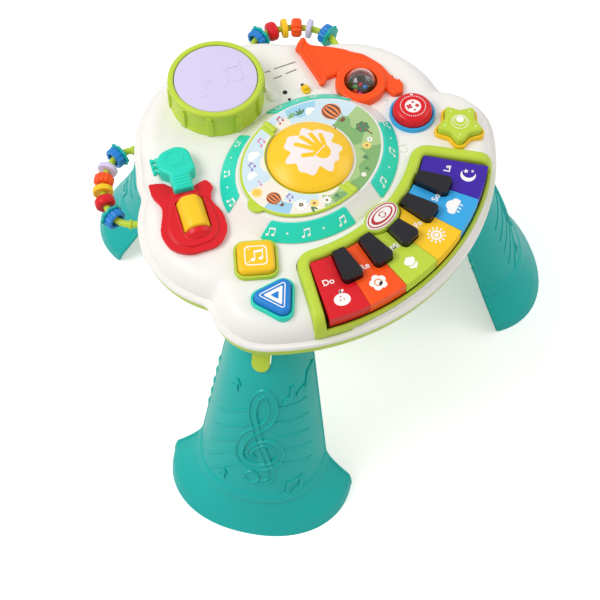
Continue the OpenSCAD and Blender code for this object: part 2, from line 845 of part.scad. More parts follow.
module leg(i) {
  color(turquoise) at_leg(i) difference() {
    union() {
      loft(concat([for (z = leg_levels) leg_ring(z, 0)],
                  [leg_ring(band_z - 0.4, 0), leg_ring(band_z, band_proud),
                   leg_ring(band_z + band_w, band_proud), leg_ring(band_z + band_w + 0.4, 0)],
                  [for (z = leg_upper) leg_ring(z, 0)],
                  [leg_ring(pan_z, 0)]), strip = true);
      loft([for (z = [pan_z - 4, pan_z]) leg_curve(z, -leg_wall / 2)]);
      translate([leg_top_in + plug_in, -plug_half, pan_z - 2]) cube([plug_len, 2 * plug_half, plug_h + 2]);
    }
    tab_form(latch_r + fit + 0.2, stem_out - stem_t - latch_travel - fit, 60);
  }
}

// Side outline of a release tab: straight at the pan and round at its end
module tab_form(r, x, len) {
  translate([x, 0, pan_z - latch_drop]) rotate([0, 90, 0]) cylinder(r = r, h = len);
  translate([x, -r, pan_z - latch_drop]) cube([len, 2 * r, latch_drop + over]);
}

module latch(i) {
  color(lime) at_leg(i) {
    intersection() {
      tab_form(latch_r, tab_out - tab_t - over, tab_lean + tab_t + 2 * over);
      rotate([90, 0, 0]) linear_extrude(2 * latch_r + 2 * over, center = true)
        polygon([[tab_out - tab_t, pan_z - fit], [tab_out, pan_z - fit],
                 [tab_out + tab_lean + over / 2, tab_low - over],
                 [tab_out + tab_lean + over / 2 - tab_t, tab_low - over]]);
    }
    translate([stem_out - stem_t, -stem_w / 2, pan_z - fit - shelf_h])
      cube([tab_out - tab_t / 8 - stem_out + stem_t, stem_w, shelf_h]);
    translate([stem_out - stem_t, -stem_w / 2, pan_z - fit - shelf_h])
      cube([stem_t, stem_w, shelf_h + fit + wall + fit + hook_h]);
    translate([stem_out - stem_t, -stem_w / 2, floor_in + fit]) cube([stem_t + hook_reach, stem_w, hook_h]);
  }
}

module leg_back() { leg(0); }
module leg_left() { leg(1); }
module leg_right() { leg(2); }
module latch_back() { latch(0); }
module latch_left() { latch(1); }
module latch_right() { latch(2); }

// Drum: a shell that stands on the pan floor and holds the pad under its rim
drum_top = deck_z + drum_h;
drum_rim_t = 5;
drum_wall = 2.2;
lug_count = 10;
lug_w = 8;
lug_out = 2.2;
pad_down = 0.8;
drum_low = pan_z + plug_h + 6;
drum_post_r = 4;

module at_drum() {
  on_table() translate([0, drum_y, 0]) children();
}

module drum_shell() {
  color(lime) at_drum() {
    tube(drum_r - drum_wall, drum_r, drum_low, drum_top);
    for (a = [180, 270, 360]) rotate(a) translate([drum_r - drum_post_r, 0, floor_in])
      cylinder(r = drum_post_r, h = drum_low + drum_post_r - floor_in);
    tube(drum_pad_r + slide_gap, drum_r - drum_wall / 2, drum_top - drum_rim_t, drum_top);
    difference() {
      for (i = [0 : lug_count - 1]) rotate(360 * i / lug_count)
        translate([drum_r - drum_wall / 2, -lug_w / 2, deck_z + fit])
          cube([lug_out + drum_wall / 2, lug_w, drum_h - drum_rim_t]);
      cylinder(r = drum_r - drum_wall / 2, h = drum_top);
    }
  }
}

module drum_pad() {
  color(lilac) at_drum() {
    translate([0, 0, drum_top - drum_rim_t - fit - flange_t])
      cylinder(r = drum_r - drum_wall - slide_gap, h = flange_t);
    translate([0, 0, drum_top - drum_rim_t - fit - flange_t])
      cylinder(r = drum_pad_r, h = drum_rim_t + fit + flange_t - pad_down);
  }
}

// Raised plate with sloping flank, the four light arcs on it, the page and the dome button
function flank_ring(d, z) =
  let (in = flank_w * (z - deck_z) / plate_h)
  ellipse_ring(plate_a - in + d, plate_b - in + d, z);

module picture_plate() {
  color(white) on_table() {
    difference() {
      loft([flank_ring(0, deck_z), flank_ring(0, plate_z)]);
      loft([flank_ring(-wall, deck_z - over), flank_ring(-wall, plate_z - wall)]);
      cylinder(r = dome_r + slide_gap, h = plate_z + over);
      for (s = [-1, 1]) translate([0, s * knuckle_mid, plate_z])
        cube([2 * (knuckle_r + fit + 0.2), knuckle_len + 2 * fit, 3 * wall], center = true);
    }
    for (s = [-1, 1]) translate([0, s * knuckle_mid, 0]) {
      for (e = [-1, 1]) translate([0, e * (knuckle_len + ear_t + 2 * fit) / 2, (plate_z + page_z) / 2])
        cube([4, ear_t, page_z - plate_z + 2 * ear_rise], center = true);
      translate([0, knuckle_len / 2 + fit, page_z]) rotate([90, 0, 0])
        cylinder(r = hinge_pin_r, h = knuckle_len + 2 * fit);
    }
  }
}

module light_arcs() {
  color(aqua) on_table() difference() {
    loft([flank_ring(arc_t, deck_z + arc_edge), flank_ring(arc_t, plate_z - arc_edge)]);
    loft([flank_ring(fit * 0.7, deck_z), flank_ring(fit * 0.7, plate_z)]);
    translate([0, 0, plate_z]) cube([2 * arc_gap_x, 3 * plate_b, 3 * plate_h], center = true);
    translate([0, 0, plate_z]) cube([3 * plate_a, 2 * arc_gap_y, 3 * plate_h], center = true);
  }
}

page_a = plate_top_a - page_margin;
page_b = plate_top_b - page_margin + 2;
page_hole = dome_r + 1.6;

module flip_page() {
  color(lime) on_table() difference() {
    union() {
      intersection() {
        union() {
          prism(ellipse_pts(page_a, page_b), page_z - page_t / 2, page_z + page_t / 2);
          translate([-page_a + 2, 0, page_z - page_t / 2]) cylinder(r = page_tab_r, h = page_t);
        }
        translate([-2 * page_a, -page_b - over, page_z - page_t])
          cube([2 * page_a - knuckle_r + 0.4, 2 * (page_b + over), 2 * page_t]);
      }
      for (s = [-1, 1]) translate([0, s * knuckle_mid + knuckle_len / 2, page_z]) {
        rotate([90, 0, 0]) cylinder(r = knuckle_r, h = knuckle_len);
        translate([-knuckle_r - 1, -knuckle_len, -page_t / 2]) cube([knuckle_r + 1, knuckle_len, page_t]);
      }
    }
    cylinder(r = page_hole, h = plate_z + 3 * page_t);
    for (s = [-1, 1]) translate([0, s * knuckle_mid + knuckle_len, page_z]) rotate([90, 0, 0])
      cylinder(r = hinge_pin_r + run, h = 2 * knuckle_len);
  }
}

dome_ball_r = (dome_r * dome_r + dome_h * dome_h) / (2 * dome_h);
dome_top = plate_z + dome_side + dome_h;
dome_wall = 2;

module dome_button() {
  color(yellow) on_table() difference() {
    union() {
      intersection() {
        translate([0, 0, plate_z - wall - fit - flange_t]) cylinder(r = dome_r, h = 40);
        translate([0, 0, dome_top - dome_ball_r]) sphere(r = dome_ball_r);
      }
      translate([0, 0, plate_z - wall - fit - flange_t]) cylinder(r = dome_r + flange_w, h = flange_t);
    }
    intersection() {
      translate([0, 0, plate_z - 20]) cylinder(r = dome_r - dome_wall, h = 40);
      translate([0, 0, dome_top - dome_ball_r]) sphere(r = dome_ball_r - dome_wall);
    }
  }
}

// Piano frame: the bar round the keys, the front bar, and the beam with one rib for each key
module hinge_rib(a, len) {
  translate([0, fan_y, 0]) rotate(a) translate([0, -hinge_r, 0]) {
    translate([-len / 2, 0, key_under]) rotate([0, 90, 0]) cylinder(r = rib_r, h = len);
    translate([-len / 2, -rib_r * 0.7, key_under - 5]) cube([len, rib_r * 1.4, 4]);
  }
}

module mode_oval(d, z0, z1) {
  translate([0, mode_y, 0]) prism(ellipse_pts(mode_a + d, mode_b + d), z0, z1);
}

module piano_frame() {
  color(lime) on_table() difference() {
    union() {
      difference() {
        prism(frame_outline(0), frame_low, deck_z + frame_h);
        prism(sector(key_back_r - well_gap, frame_out_r - front_bar_w, -well_half, well_half),
              frame_low - over, deck_z + frame_h + over);
        prism(sector(key_back_r, frame_out_r + 20, -well_half, well_half), front_bar_z,
              deck_z + frame_h + over);
        prism(frame_outline(-front_bar_w), frame_low - over, key_under);
      }
      mode_oval(slide_gap + mode_rim, key_under, deck_z + frame_h);
      prism(sector(hinge_r - beam_w / 2, hinge_r + beam_w / 2, -well_half - 3, well_half + 3),
            key_under - rib_r - beam_h - 0.2, key_under - rib_r - 0.2);
      for (i = [-1 : 1]) translate([fan(hinge_r, i * 20).x, fan(hinge_r, i * 20).y, floor_in])
        cylinder(r = post_r, h = key_under - rib_r - 2 - floor_in);
      for (i = [0 : key_count - 1]) hinge_rib((i - (key_count - 1) / 2) * key_pitch, neck_rib);
      for (i = [1 : key_count - 1]) hinge_rib((i - key_count / 2) * key_pitch, black_rib);
    }
    mode_oval(slide_gap, frame_low, deck_z + frame_h + over);
    mode_oval(mode_flange + slide_gap, frame_low - over, key_under);
  }
}

module mode_button() {
  color(white) on_table() {
    mode_oval(0, key_under - fit - flange_t, deck_z + frame_h + 1);
    mode_oval(mode_flange, key_under - fit - flange_t, key_under - fit);
  }
}

module saddle(a) {
  translate([0, fan_y, 0]) rotate(a) translate([0, -hinge_r, key_under]) rotate([0, 90, 0])
    cylinder(r = rib_r + run, h = saddle_len, center = true);
}

module black_shape(a, d, z0, z1) {
  translate([0, fan_y, 0]) rotate(a) prism(black_outline(d), z0, z1);
}

module key(i, paint) {
  a = (i - (key_count + 1) / 2) * key_pitch;
  half = key_pitch / 2 - key_side;
  color(paint) on_table() difference() {
    union() {
      prism(sector(key_back_r, key_front_r, a - half, a + half), key_under, deck_z + key_h);
      prism(sector(key_front_r - skirt_t, key_front_r, a - half, a + half), skirt_z, key_under + 1);
    }
    for (s = [-1, 1]) if (abs(a + s * key_pitch) < fan_half)
      black_shape(a + s * key_pitch / 2, 2 * slide_gap, key_under - over, deck_z + black_h);
    saddle(a);
    mode_oval(slide_gap + mode_rim + 1, key_under - over, deck_z + black_h);
  }
}

module black_key(i) {
  a = (i - key_count / 2) * key_pitch;
  color(black) on_table() difference() {
    black_shape(a, 0, key_under, deck_z + black_h);
    saddle(a);
    mode_oval(slide_gap + mode_rim + 1, key_under - over, deck_z + black_h + over);
  }
}

module key_1() { key(1, red); }
module key_2() { key(2, orange); }
module key_3() { key(3, lime); }
module key_4() { key(4, yellow); }
module key_5() { key(5, "#45b4ec"); }
module key_6() { key(6, purple); }
module black_key_1() { black_key(1); }
module black_key_2() { black_key(2); }
module black_key_3() { black_key(3); }
module black_key_4() { black_key(4); }
module black_key_5() { black_key(5); }

// Deck buttons
module at_deck(c) {
  on_table() translate([c.x, c.y, 0]) children();
}

module square_base() {
  color(lime) at_deck(square_c) plinth(square_outline(slide_gap), square_outline(slide_gap + plinth_w));
}
module square_button() {
  color(yellow) at_deck(square_c) push_button(square_outline(0), square_outline(button_flange), square_h);
}
module triangle_base() {
  color(aqua) at_deck(triangle_c)
    plinth(triangle_outline(slide_gap), triangle_outline(slide_gap + plinth_w));
}
module triangle_button() {
  color(blue) at_deck(triangle_c)
    push_button(triangle_outline(0), triangle_outline(button_flange), triangle_h);
}
module round_base() {
  color(blue) at_deck(round_c)
    tube(round_r + slide_gap, round_r + slide_gap + plinth_w, plinth_z, deck_z + plinth_h);
}
module round_button() {
  color(red) at_deck(round_c) translate([0, 0, plinth_z - fit - flange_t]) {
    cylinder(r = round_r, h = round_h + plinth_drop + fit + flange_t);
    cylinder(r = round_r + button_flange, h = flange_t);
  }
}
module star_base() {
  color(yellow) at_deck(star_c) plinth(star_outline(slide_gap), star_outline(slide_gap + plinth_w));
}
module star_button() {
  color(lime) at_deck(star_c) push_button(star_outline(0), star_outline(button_flange), star_h);
}

module switch_knob() {
  color(yellow) at_deck(switch_c) rotate(-switch_turn) {
    translate([-knob_w / 2, -knob_l / 2, deck_z + fit]) cube([knob_w, knob_l, knob_h - fit]);
    translate([-knob_neck / 2, -knob_neck / 2, deck_under - fit - 2])
      cube([knob_neck, knob_neck, wall + 2 * fit + 3]);
    translate([-knob_neck, -knob_neck, deck_under - fit - 2]) cube([2 * knob_neck, 2 * knob_neck, 2]);
  }
}

// Guitar: a low body with a hump that holds the roller, and a raised neck
module guitar_body() {
  color(red) at_guitar() difference() {
    union() {
      prism(rounded(body_pts, body_round), deck_z, deck_z + guitar_h);
      intersection() {
        translate([0, hump_front, deck_z]) rotate([90, 0, 0])
          cylinder(r = hump_r, h = hump_front - hump_back);
        translate([-hump_r, hump_back, deck_z]) cube([2 * hump_r, hump_front - hump_back, hump_r]);
      }
    }
    translate([-roller_r - roller_gap, roller_mid - roller_len / 2 - roller_gap, deck_z - over])
      cube([2 * (roller_r + roller_gap), roller_len + 2 * roller_gap, 2 * hump_r]);
    translate([0, roller_mid + roller_len / 2 + bearing_len, roller_z]) rotate([90, 0, 0])
      cylinder(r = axle_r + run, h = roller_len + 2 * bearing_len);
    prism(grown(neck_pts, fit), deck_z - over, deck_z + hump_r + over);
  }
}

module guitar_neck() {
  color(aqua) at_guitar() {
    prism(rounded(neck_pts, neck_round), deck_z, deck_z + neck_h);
    for (k = [1 : fret_count])
      translate([-8.5, 36 + 4 * k, deck_z + neck_h - 0.2]) cube([14, 1.2, fret_t + 0.2]);
    for (y = peg_y) translate([peg_x, y, deck_z + neck_h / 2]) rotate([0, -90, 0])
      cylinder(r = peg_r, h = peg_len);
  }
}

module guitar_roller() {
  color(yellow) at_guitar() translate([0, roller_mid, roller_z]) rotate([90, 0, 0]) {
    cylinder(r = roller_r, h = roller_len, center = true);
    cylinder(r = axle_r, h = roller_len + 2 * bearing_len - 2, center = true);
  }
}

// Horn with its ring, and the clear ball that spins in the ring on two pins
module horn_body() {
  color(orange) on_table() difference() {
    union() {
      prism(rounded(horn_pts, horn_round), deck_z, deck_z + horn_h);
      translate([ball_c.x, ball_c.y, deck_z]) cylinder(r = ring_r, h = ring_h);
    }
    translate([ball_c.x, ball_c.y, deck_z - over]) cylinder(r = ball_r + ball_gap, h = ring_h + 2 * over);
    loft([for (z = [deck_z - over, plate_z]) flank_ring(arc_t + fit, z)]);
    translate([ball_c.x, ball_c.y, ball_z]) rotate(ball_turn) rotate([0, 90, 0])
      cylinder(r = ball_pin_r + run, h = 2 * (ball_r + ball_pin_len + 0.5), center = true);
  }
}

module at_ball() {
  on_table() translate([ball_c.x, ball_c.y, ball_z]) rotate(ball_turn) children();
}

module horn_ball() {
  color("#e8f2f6") at_ball() {
    difference() {
      union() {
        sphere(r = ball_r);
        rotate([0, 90, 0]) cylinder(r = ball_pin_r, h = 2 * (ball_r + ball_pin_len), center = true);
      }
      sphere(r = ball_r - ball_wall);
    }
  }
}

module horn_ball_beads() {
  color(red) at_ball() {
    low = ball_r - ball_wall - rattle_r - fit;
    translate([0, 0, -low]) sphere(r = rattle_r);
    for (i = [0 : 5]) rotate(60 * i)
      translate([rattle_ring, 0, -sqrt(low * low - rattle_ring * rattle_ring)])
      sphere(r = rattle_r);
  }
}

// Bead bars and their beads
module bead_bars() {
  color(lime) for (side = [-1, 1]) at_bar(side) bar_path();
}

module bead_left_1() { color(turquoise) at_bead(-1, 0) cup_pair(0); }
module bead_left_2() { color(lilac) at_bead(-1, 1) disc_bead(); }
module bead_left_3() { color(orange) at_bead(-1, 2) fluted_bead(); }
module bead_left_4() { color(yellow) at_bead(-1, 3) ring_bead(); }
module bead_left_5() { color(red) at_bead(-1, 4) barrel_bead(); }
module bead_left_6() { color(blue) at_bead(-1, 5) cup_pair(0); }
module bead_right_1() { color(blue) at_bead(1, 0) cup_pair(1); }
module bead_right_2() { color(red) at_bead(1, 1) barrel_bead(); }
module bead_right_3() { color(yellow) at_bead(1, 2) ring_bead(); }
module bead_right_4() { color(orange) at_bead(1, 3) fluted_bead(); }
module bead_right_5() { color(lilac) at_bead(1, 4) disc_bead(); }
module bead_right_6() { color(turquoise) at_bead(1, 5) cup_pair(1); }

// Inside: the board on its posts, the speaker under its slots, the cells and their door
module circuit_board() {
  color("#1d7a3c") on_table() translate([-board_w / 2, -board_l / 2, board_z])
    cube([board_w, board_l, board_t]);
}

module speaker() {
  color("#3a3a40") at_deck(speaker_c) {
    difference() {
      translate([0, 0, deck_under - speaker_h]) cylinder(r1 = magnet_r + 2, r2 = speaker_r, h = speaker_h);
      translate([0, 0, deck_under - speaker_h + 3])
        cylinder(r1 = magnet_r - 2, r2 = speaker_r - 2, h = speaker_h - 3 + 0.01);
    }
    translate([0, 0, deck_under - speaker_h - magnet_h]) cylinder(r = magnet_r, h = magnet_h + 0.5);
  }
}

module batteries() {
  color("#3c4046") on_table()
    for (i = [0 : cell_count - 1])
      translate([(i - (cell_count - 1) / 2) * cell_pitch, cell_len / 2, floor_in + cell_r + 0.2])
        rotate([90, 0, 0]) {
          cylinder(r = cell_r, h = cell_len - 1.5);
          cylinder(r = 2.6, h = cell_len);
        }
}

module battery_door() {
  color(lime) on_table() translate([-bay_w / 2 + fit, -bay_l / 2 + fit, pan_z])
    cube([bay_w - 2 * fit, bay_l - 2 * fit, wall]);
}

module screws() {
  color("#9a9ca2") on_table() screw_sites() {
    translate([0, 0, shoulder_z - head_h]) cylinder(r = head_r, h = head_h);
    translate([0, 0, shoulder_z - 0.5]) cylinder(r = shank_r, h = screw_len);
  }
}

top_shell();
bottom_shell();
leg_back();
leg_left();
leg_right();
latch_back();
latch_left();
latch_right();
drum_shell();
drum_pad();
guitar_body();
guitar_neck();
guitar_roller();
horn_body();
horn_ball();
horn_ball_beads();
light_arcs();
picture_plate();
flip_page();
dome_button();
piano_frame();
mode_button();
key_1();
key_2();
key_3();
key_4();
key_5();
key_6();
black_key_1();
black_key_2();
black_key_3();
black_key_4();
black_key_5();
square_base();
square_button();
triangle_base();
triangle_button();
round_base();
round_button();
star_base();
star_button();
switch_knob();
bead_bars();
bead_left_1();
bead_left_2();
bead_left_3();
bead_left_4();
bead_left_5();
bead_left_6();
bead_right_1();
bead_right_2();
bead_right_3();
bead_right_4();
bead_right_5();
bead_right_6();
circuit_board();
speaker();
batteries();
battery_door();
screws();
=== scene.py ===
import bpy
import bmesh
import json
from math import radians, degrees, cos, sin, tan, pi, sqrt, asin, atan2
from mathutils import Vector, Matrix

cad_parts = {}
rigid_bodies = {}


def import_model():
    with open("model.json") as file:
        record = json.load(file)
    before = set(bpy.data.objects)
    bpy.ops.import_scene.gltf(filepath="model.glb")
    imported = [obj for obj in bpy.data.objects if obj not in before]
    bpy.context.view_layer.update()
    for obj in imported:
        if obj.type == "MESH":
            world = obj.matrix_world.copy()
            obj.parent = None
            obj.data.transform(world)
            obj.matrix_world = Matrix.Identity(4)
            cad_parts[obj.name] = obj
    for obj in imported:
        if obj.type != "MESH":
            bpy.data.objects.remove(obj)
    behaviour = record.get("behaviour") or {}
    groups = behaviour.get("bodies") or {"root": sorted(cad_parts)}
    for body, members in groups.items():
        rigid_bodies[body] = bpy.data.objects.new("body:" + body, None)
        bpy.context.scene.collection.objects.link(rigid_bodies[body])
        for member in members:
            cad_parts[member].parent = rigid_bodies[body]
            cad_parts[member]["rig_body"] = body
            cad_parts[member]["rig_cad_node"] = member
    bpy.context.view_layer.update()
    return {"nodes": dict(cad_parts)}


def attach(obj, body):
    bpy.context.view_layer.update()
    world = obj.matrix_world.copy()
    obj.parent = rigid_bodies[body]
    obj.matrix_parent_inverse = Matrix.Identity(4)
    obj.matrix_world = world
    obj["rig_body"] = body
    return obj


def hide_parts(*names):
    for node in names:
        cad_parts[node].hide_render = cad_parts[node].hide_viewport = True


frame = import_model()

# Heights of the table's levels, and how far the feet's middle stands behind the disc's centre, in mm
levels = {"pan": 258, "seam": 280, "deck": 308, "plate": 324, "middle": 54.976169}
tableFrame = Matrix.Translation((0, -levels["middle"] * 0.001, 0)) @ Matrix.Scale(0.001, 4)


def clearSelection():
    if bpy.context.object and bpy.context.object.mode != 'OBJECT':
        bpy.ops.object.mode_set(mode='OBJECT')
    bpy.ops.object.select_all(action='DESELECT')


def pick(*pieces):
    clearSelection()
    for piece in pieces:
        piece.select_set(True)
    bpy.context.view_layer.objects.active = pieces[0]


def standing(x, y, turn=0, z=0):   # a frame on the table, turned about the vertical, in mm and degrees
    return tableFrame @ Matrix.Translation((x, y, z)) @ Matrix.Rotation(radians(turn), 4, 'Z')


# A skin over rings of points: a circle is drawn onto the first ring and extruded to each next one
def loft(name, rings, at=tableFrame, capped=True, looped=False):
    clearSelection()
    bpy.ops.mesh.primitive_circle_add(vertices=len(rings[0]), fill_type='NGON' if capped else 'NOTHING')
    piece = bpy.context.object
    piece.name = piece.data.name = name
    order = piece.data.attributes.new("order", 'INT', 'POINT')
    for i, vertex in enumerate(piece.data.vertices):
        vertex.co = at @ Vector(rings[0][i])
        order.data[i].value = i
    bpy.ops.object.mode_set(mode='EDIT')
    bpy.ops.mesh.select_all(action='SELECT')
    for ring in rings[1:]:
        bpy.ops.mesh.extrude_region_move()
        shape = bmesh.from_edit_mesh(piece.data)
        layer = shape.verts.layers.int["order"]
        for vertex in shape.verts:
            if vertex.select:
                vertex.co = at @ Vector(ring[vertex[layer]])
        bmesh.update_edit_mesh(piece.data)
    bpy.ops.mesh.select_all(action='SELECT')
    if looped:
        bpy.ops.mesh.remove_doubles(threshold=0.000004)
    bpy.ops.mesh.normals_make_consistent(inside=False)
    bpy.ops.object.mode_set(mode='OBJECT')
    piece.data.attributes.remove(piece.data.attributes["order"])
    return piece


def modified(piece, kind, **settings):
    pick(piece)
    change = piece.modifiers.new("change", kind)
    for key, value in settings.items():
        setattr(change, key, value)
    bpy.ops.object.modifier_apply(modifier=change.name)
    return piece


def softened(piece, width, segments=3, angle=35):   # rounds every edge sharper than the angle
    return modified(piece, 'BEVEL', width=width * 0.001, segments=segments, limit_method='ANGLE',
                    angle_limit=radians(angle), use_clamp_overlap=True)


def smoothed(piece, angle=35):
    pick(piece)
    bpy.ops.object.shade_smooth_by_angle(angle=radians(angle))
    return piece


def joined(name, *pieces):
    pick(*pieces)
    if len(pieces) > 1:
        bpy.ops.object.join()
    pieces[0].name = pieces[0].data.name = name
    return pieces[0]


def cutBy(piece, *cutters):
    for cutter in cutters:
        modified(piece, 'BOOLEAN', object=cutter, operation='DIFFERENCE', solver='EXACT')
        bpy.data.objects.remove(cutter)
    return piece


# Joins moulded forms into one skin, whose seams then melt together
def melted(name, *pieces, grain=0.8, passes=4):
    piece = joined(name, *pieces)
    modified(piece, 'REMESH', mode='VOXEL', voxel_size=grain * 0.001)
    modified(piece, 'SMOOTH', factor=0.5, iterations=passes)
    return smoothed(piece, 60)


def copyOf(node, name):   # a free copy of a frame node, its loose triangles merged
    pick(frame["nodes"][node])
    bpy.ops.object.duplicate()
    piece = bpy.context.object
    piece.name = piece.data.name = name
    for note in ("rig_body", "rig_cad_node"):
        if note in piece:
            del piece[note]
    bpy.ops.object.parent_clear(type='CLEAR')
    bpy.ops.object.mode_set(mode='EDIT')
    bpy.ops.mesh.select_all(action='SELECT')
    bpy.ops.mesh.remove_doubles(threshold=0.00001)
    bpy.ops.mesh.dissolve_limited(angle_limit=radians(0.6))
    bpy.ops.object.mode_set(mode='OBJECT')
    return piece


def painted(piece, finish):
    piece.data.materials.clear()
    piece.data.materials.append(finish)
    return piece


def fitted(piece, body, finish=None, stands=()):   # gives a piece its finish and its body
    if finish:
        painted(piece, finish)
    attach(piece, body)
    if stands:
        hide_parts(*stands)
    return piece


def dressed(piece, node, colour, angle=40, body="table"):   # one plastic piece in a node's place
    return fitted(smoothed(piece, angle), body, look[colour], stands=(node,))


# Outlines: points of a closed path seen from above, anticlockwise
def around(count):
    return [2 * pi * i / count for i in range(count)]


def spread(first, last, steps):   # even values from the first to the last
    return [first + (last - first) * i / steps for i in range(steps + 1)]


def heading(p, q):
    return (Vector(q) - Vector(p)).normalized()


def boxPath(x0, y0, x1, y1):
    return [(x0, y0), (x1, y0), (x1, y1), (x0, y1)]


def grown(points, d):   # every side moved out by d
    moved = []
    for i, q in enumerate(points):
        a, b = heading(points[i - 1], q), heading(q, points[(i + 1) % len(points)])
        moved.append(Vector(q) + Vector((a.y + b.y, -a.x - b.x)) * d / (1 + a.dot(b)))
    return moved


def rounded(points, radius, steps=6):   # every corner turned into an arc of steps + 1 points
    path = []
    for i, q in enumerate(points):
        r = radius[i] if isinstance(radius, (list, tuple)) else radius
        a, b = heading(points[i - 1], q), heading(q, points[(i + 1) % len(points)])
        bend = atan2(a.x * b.y - a.y * b.x, a.dot(b))
        side = 1 if bend > 0 else -1
        left = Vector((-a.y, a.x))
        start = Vector(q) - a * r * tan(abs(bend) / 2)
        middle = start + side * r * left
        for t in spread(0, bend, steps):
            path.append(middle + r * side * Vector((a.y * cos(t) + a.x * sin(t),
                                                    a.y * sin(t) - a.x * cos(t))))
    return path


def outlineOf(path, rounds, steps, least=None):   # an outline by its growth; corners grow too down to least
    def outlineAt(d):
        radii = rounds if least is None else [max(least, r + d) for r in rounds]
        return rounded(grown(path, d), radii, steps)

    return outlineAt


def shifted(loop, x=0, y=0, size=1, turn=0):
    c, s = cos(radians(turn)) * size, sin(radians(turn)) * size
    return [(x + p[0] * c - p[1] * s, y + p[0] * s + p[1] * c) for p in loop]


def roundLoop(r, x=0, y=0, lobes=0, depth=0.0, count=48, stretch=1, turn=0):
    loop = []
    for a in around(count):
        d = r * (1 + depth * cos(lobes * a))
        loop.append((d * cos(a), d * sin(a) * stretch))
    return shifted(loop, x, y, 1, turn)


def leafLoop(length, width, x=0, y=0, turn=0):
    side = [(length * k / 10, width / 2 * sin(pi * k / 10) ** 0.8) for k in range(11)]
    return shifted(side + [(p[0], -p[1]) for p in side[-2:0:-1]], x, y, 1, turn)


def roundTip(p, along, width):
    side = Vector((-along.y, along.x))
    return [Vector(p) + width / 2 * (side * cos(t) + along * sin(t)) for t in (0.5, 1.05, 1.57, 2.09, 2.64)]


def strokeLoop(points, width):   # a line of even width with round ends
    left, right = [], []
    for i, p in enumerate(points):
        a = heading(points[max(0, i - 1)], points[min(len(points) - 1, i + 1)])
        side = Vector((-a.y, a.x)) * width / 2
        left.append(Vector(p) + side)
        right.append(Vector(p) - side)
    start = roundTip(points[0], heading(points[1], points[0]), width)
    end = roundTip(points[-1], heading(points[-2], points[-1]), width)
    return [tuple(p) for p in left + end + right[::-1] + start]


noteShape = {"head": 0.21, "thin": 0.045, "stem": 0.17, "high": 0.92, "beam": 0.2, "single": [(-0.1, -0.5)],
             "double": [(-0.32, -0.5), (0.42, -0.38)],
             "flag": [(0.07, 0.42), (0.3, 0.22), (0.38, -0.02), (0.26, 0.1)]}


def noteLoops(size, double=False, x=0, y=0, turn=0, bold=1):   # a quaver, or two under one beam
    n = noteShape
    heads = n["double"] if double else n["single"]
    thin = n["thin"] * bold
    loops = []
    for hx, hy in heads:
        stem = hx + n["stem"]
        loops.append(roundLoop(n["head"] * bold ** 0.6, hx, hy, stretch=0.78, count=24, turn=20))
        loops.append(boxPath(stem - thin, hy, stem + thin, hy + n["high"]))
    if double:
        (ax, ay), (bx, by) = [(hx + n["stem"], hy + n["high"]) for hx, hy in heads]
        low, top = n["beam"], 0.03
        loops.append([(ax - thin, ay - low), (bx + thin, by - low),
                      (bx + thin, by + top), (ax - thin, ay + top)])
    else:
        loops.append(n["flag"] + [(0.07, 0.42 - 0.24 * bold)])
    return [shifted(loop, x, y, size, turn) for loop in loops]


def circle(r, z, count=64, x=0, y=0):
    return [(x + r * cos(a), y + r * sin(a), z) for a in around(count)]


def ellipse(a, b, count=72, x=0, y=0):
    return [Vector((x + a * cos(t), y + b * sin(t))) for t in around(count)]


def level(path, z):
    return [(p[0], p[1], z) for p in path]


# Forms: a straight block, circles over one another, and an outline grown by d at each height
def prism(name, path, low, top, at=tableFrame):
    return loft(name, [level(path, low), level(path, top)], at)


def discs(name, profile, count, x=0, y=0, at=tableFrame):
    return loft(name, [circle(r, z, count, x, y) for r, z in profile], at)


def stacked(name, outlineAt, profile, at=tableFrame, **closing):
    return loft(name, [level(outlineAt(d), z) for d, z in profile], at, **closing)


def pressed(low, top, edge):   # the profile of a block with a rounded top edge
    bends = spread(0, pi / 2, 8)[1:]
    return [(0, low), (0, top - edge)] + [(-edge * (1 - cos(t)), top - edge + edge * sin(t)) for t in bends]


# A form turned about its axis: its profile is a closed path of radius and height, and outside its bore
# the skin may wave in and out by depth
def turnedForm(name, profile, at, count=72, waves=0, depth=0):
    rings = []
    for p in list(profile) + [profile[0]]:
        ring = []
        for a in around(count):
            r = p[0] - (depth / 2 * (1 - cos(waves * a)) if p[0] > depth + 6 else 0)
            ring.append((r * cos(a), r * sin(a), p[1]))
        rings.append(ring)
    return loft(name, rings, at, capped=False, looped=True)


# A round bar along a path of points, with round ends
def bar(name, path, radius, at=tableFrame, sides=12, ends=True):
    rings = []
    last = len(path) - 1
    for i, p in enumerate(path):
        along = (Vector(path[min(i + 1, last)]) - Vector(path[max(i - 1, 0)])).normalized()
        side = along.cross(Vector((0, 0, 1)))
        side = side.normalized() if side.length > 0.01 else along.cross(Vector((0, 1, 0))).normalized()
        over = side.cross(along)
        r = radius[i] if isinstance(radius, (list, tuple)) else radius
        steps = [(0, 1)]
        if ends and i == 0:
            steps = [(-r * cos(t), sin(t)) for t in (0.15, 0.6, 1.1)] + steps
        if ends and i == last:
            steps = steps + [(r * cos(t), sin(t)) for t in (1.1, 0.6, 0.15)]
        for shift, size in steps:
            rings.append([Vector(p) + along * shift + r * size * (side * cos(t) + over * sin(t))
                          for t in around(sides)])
    return loft(name, rings, at)


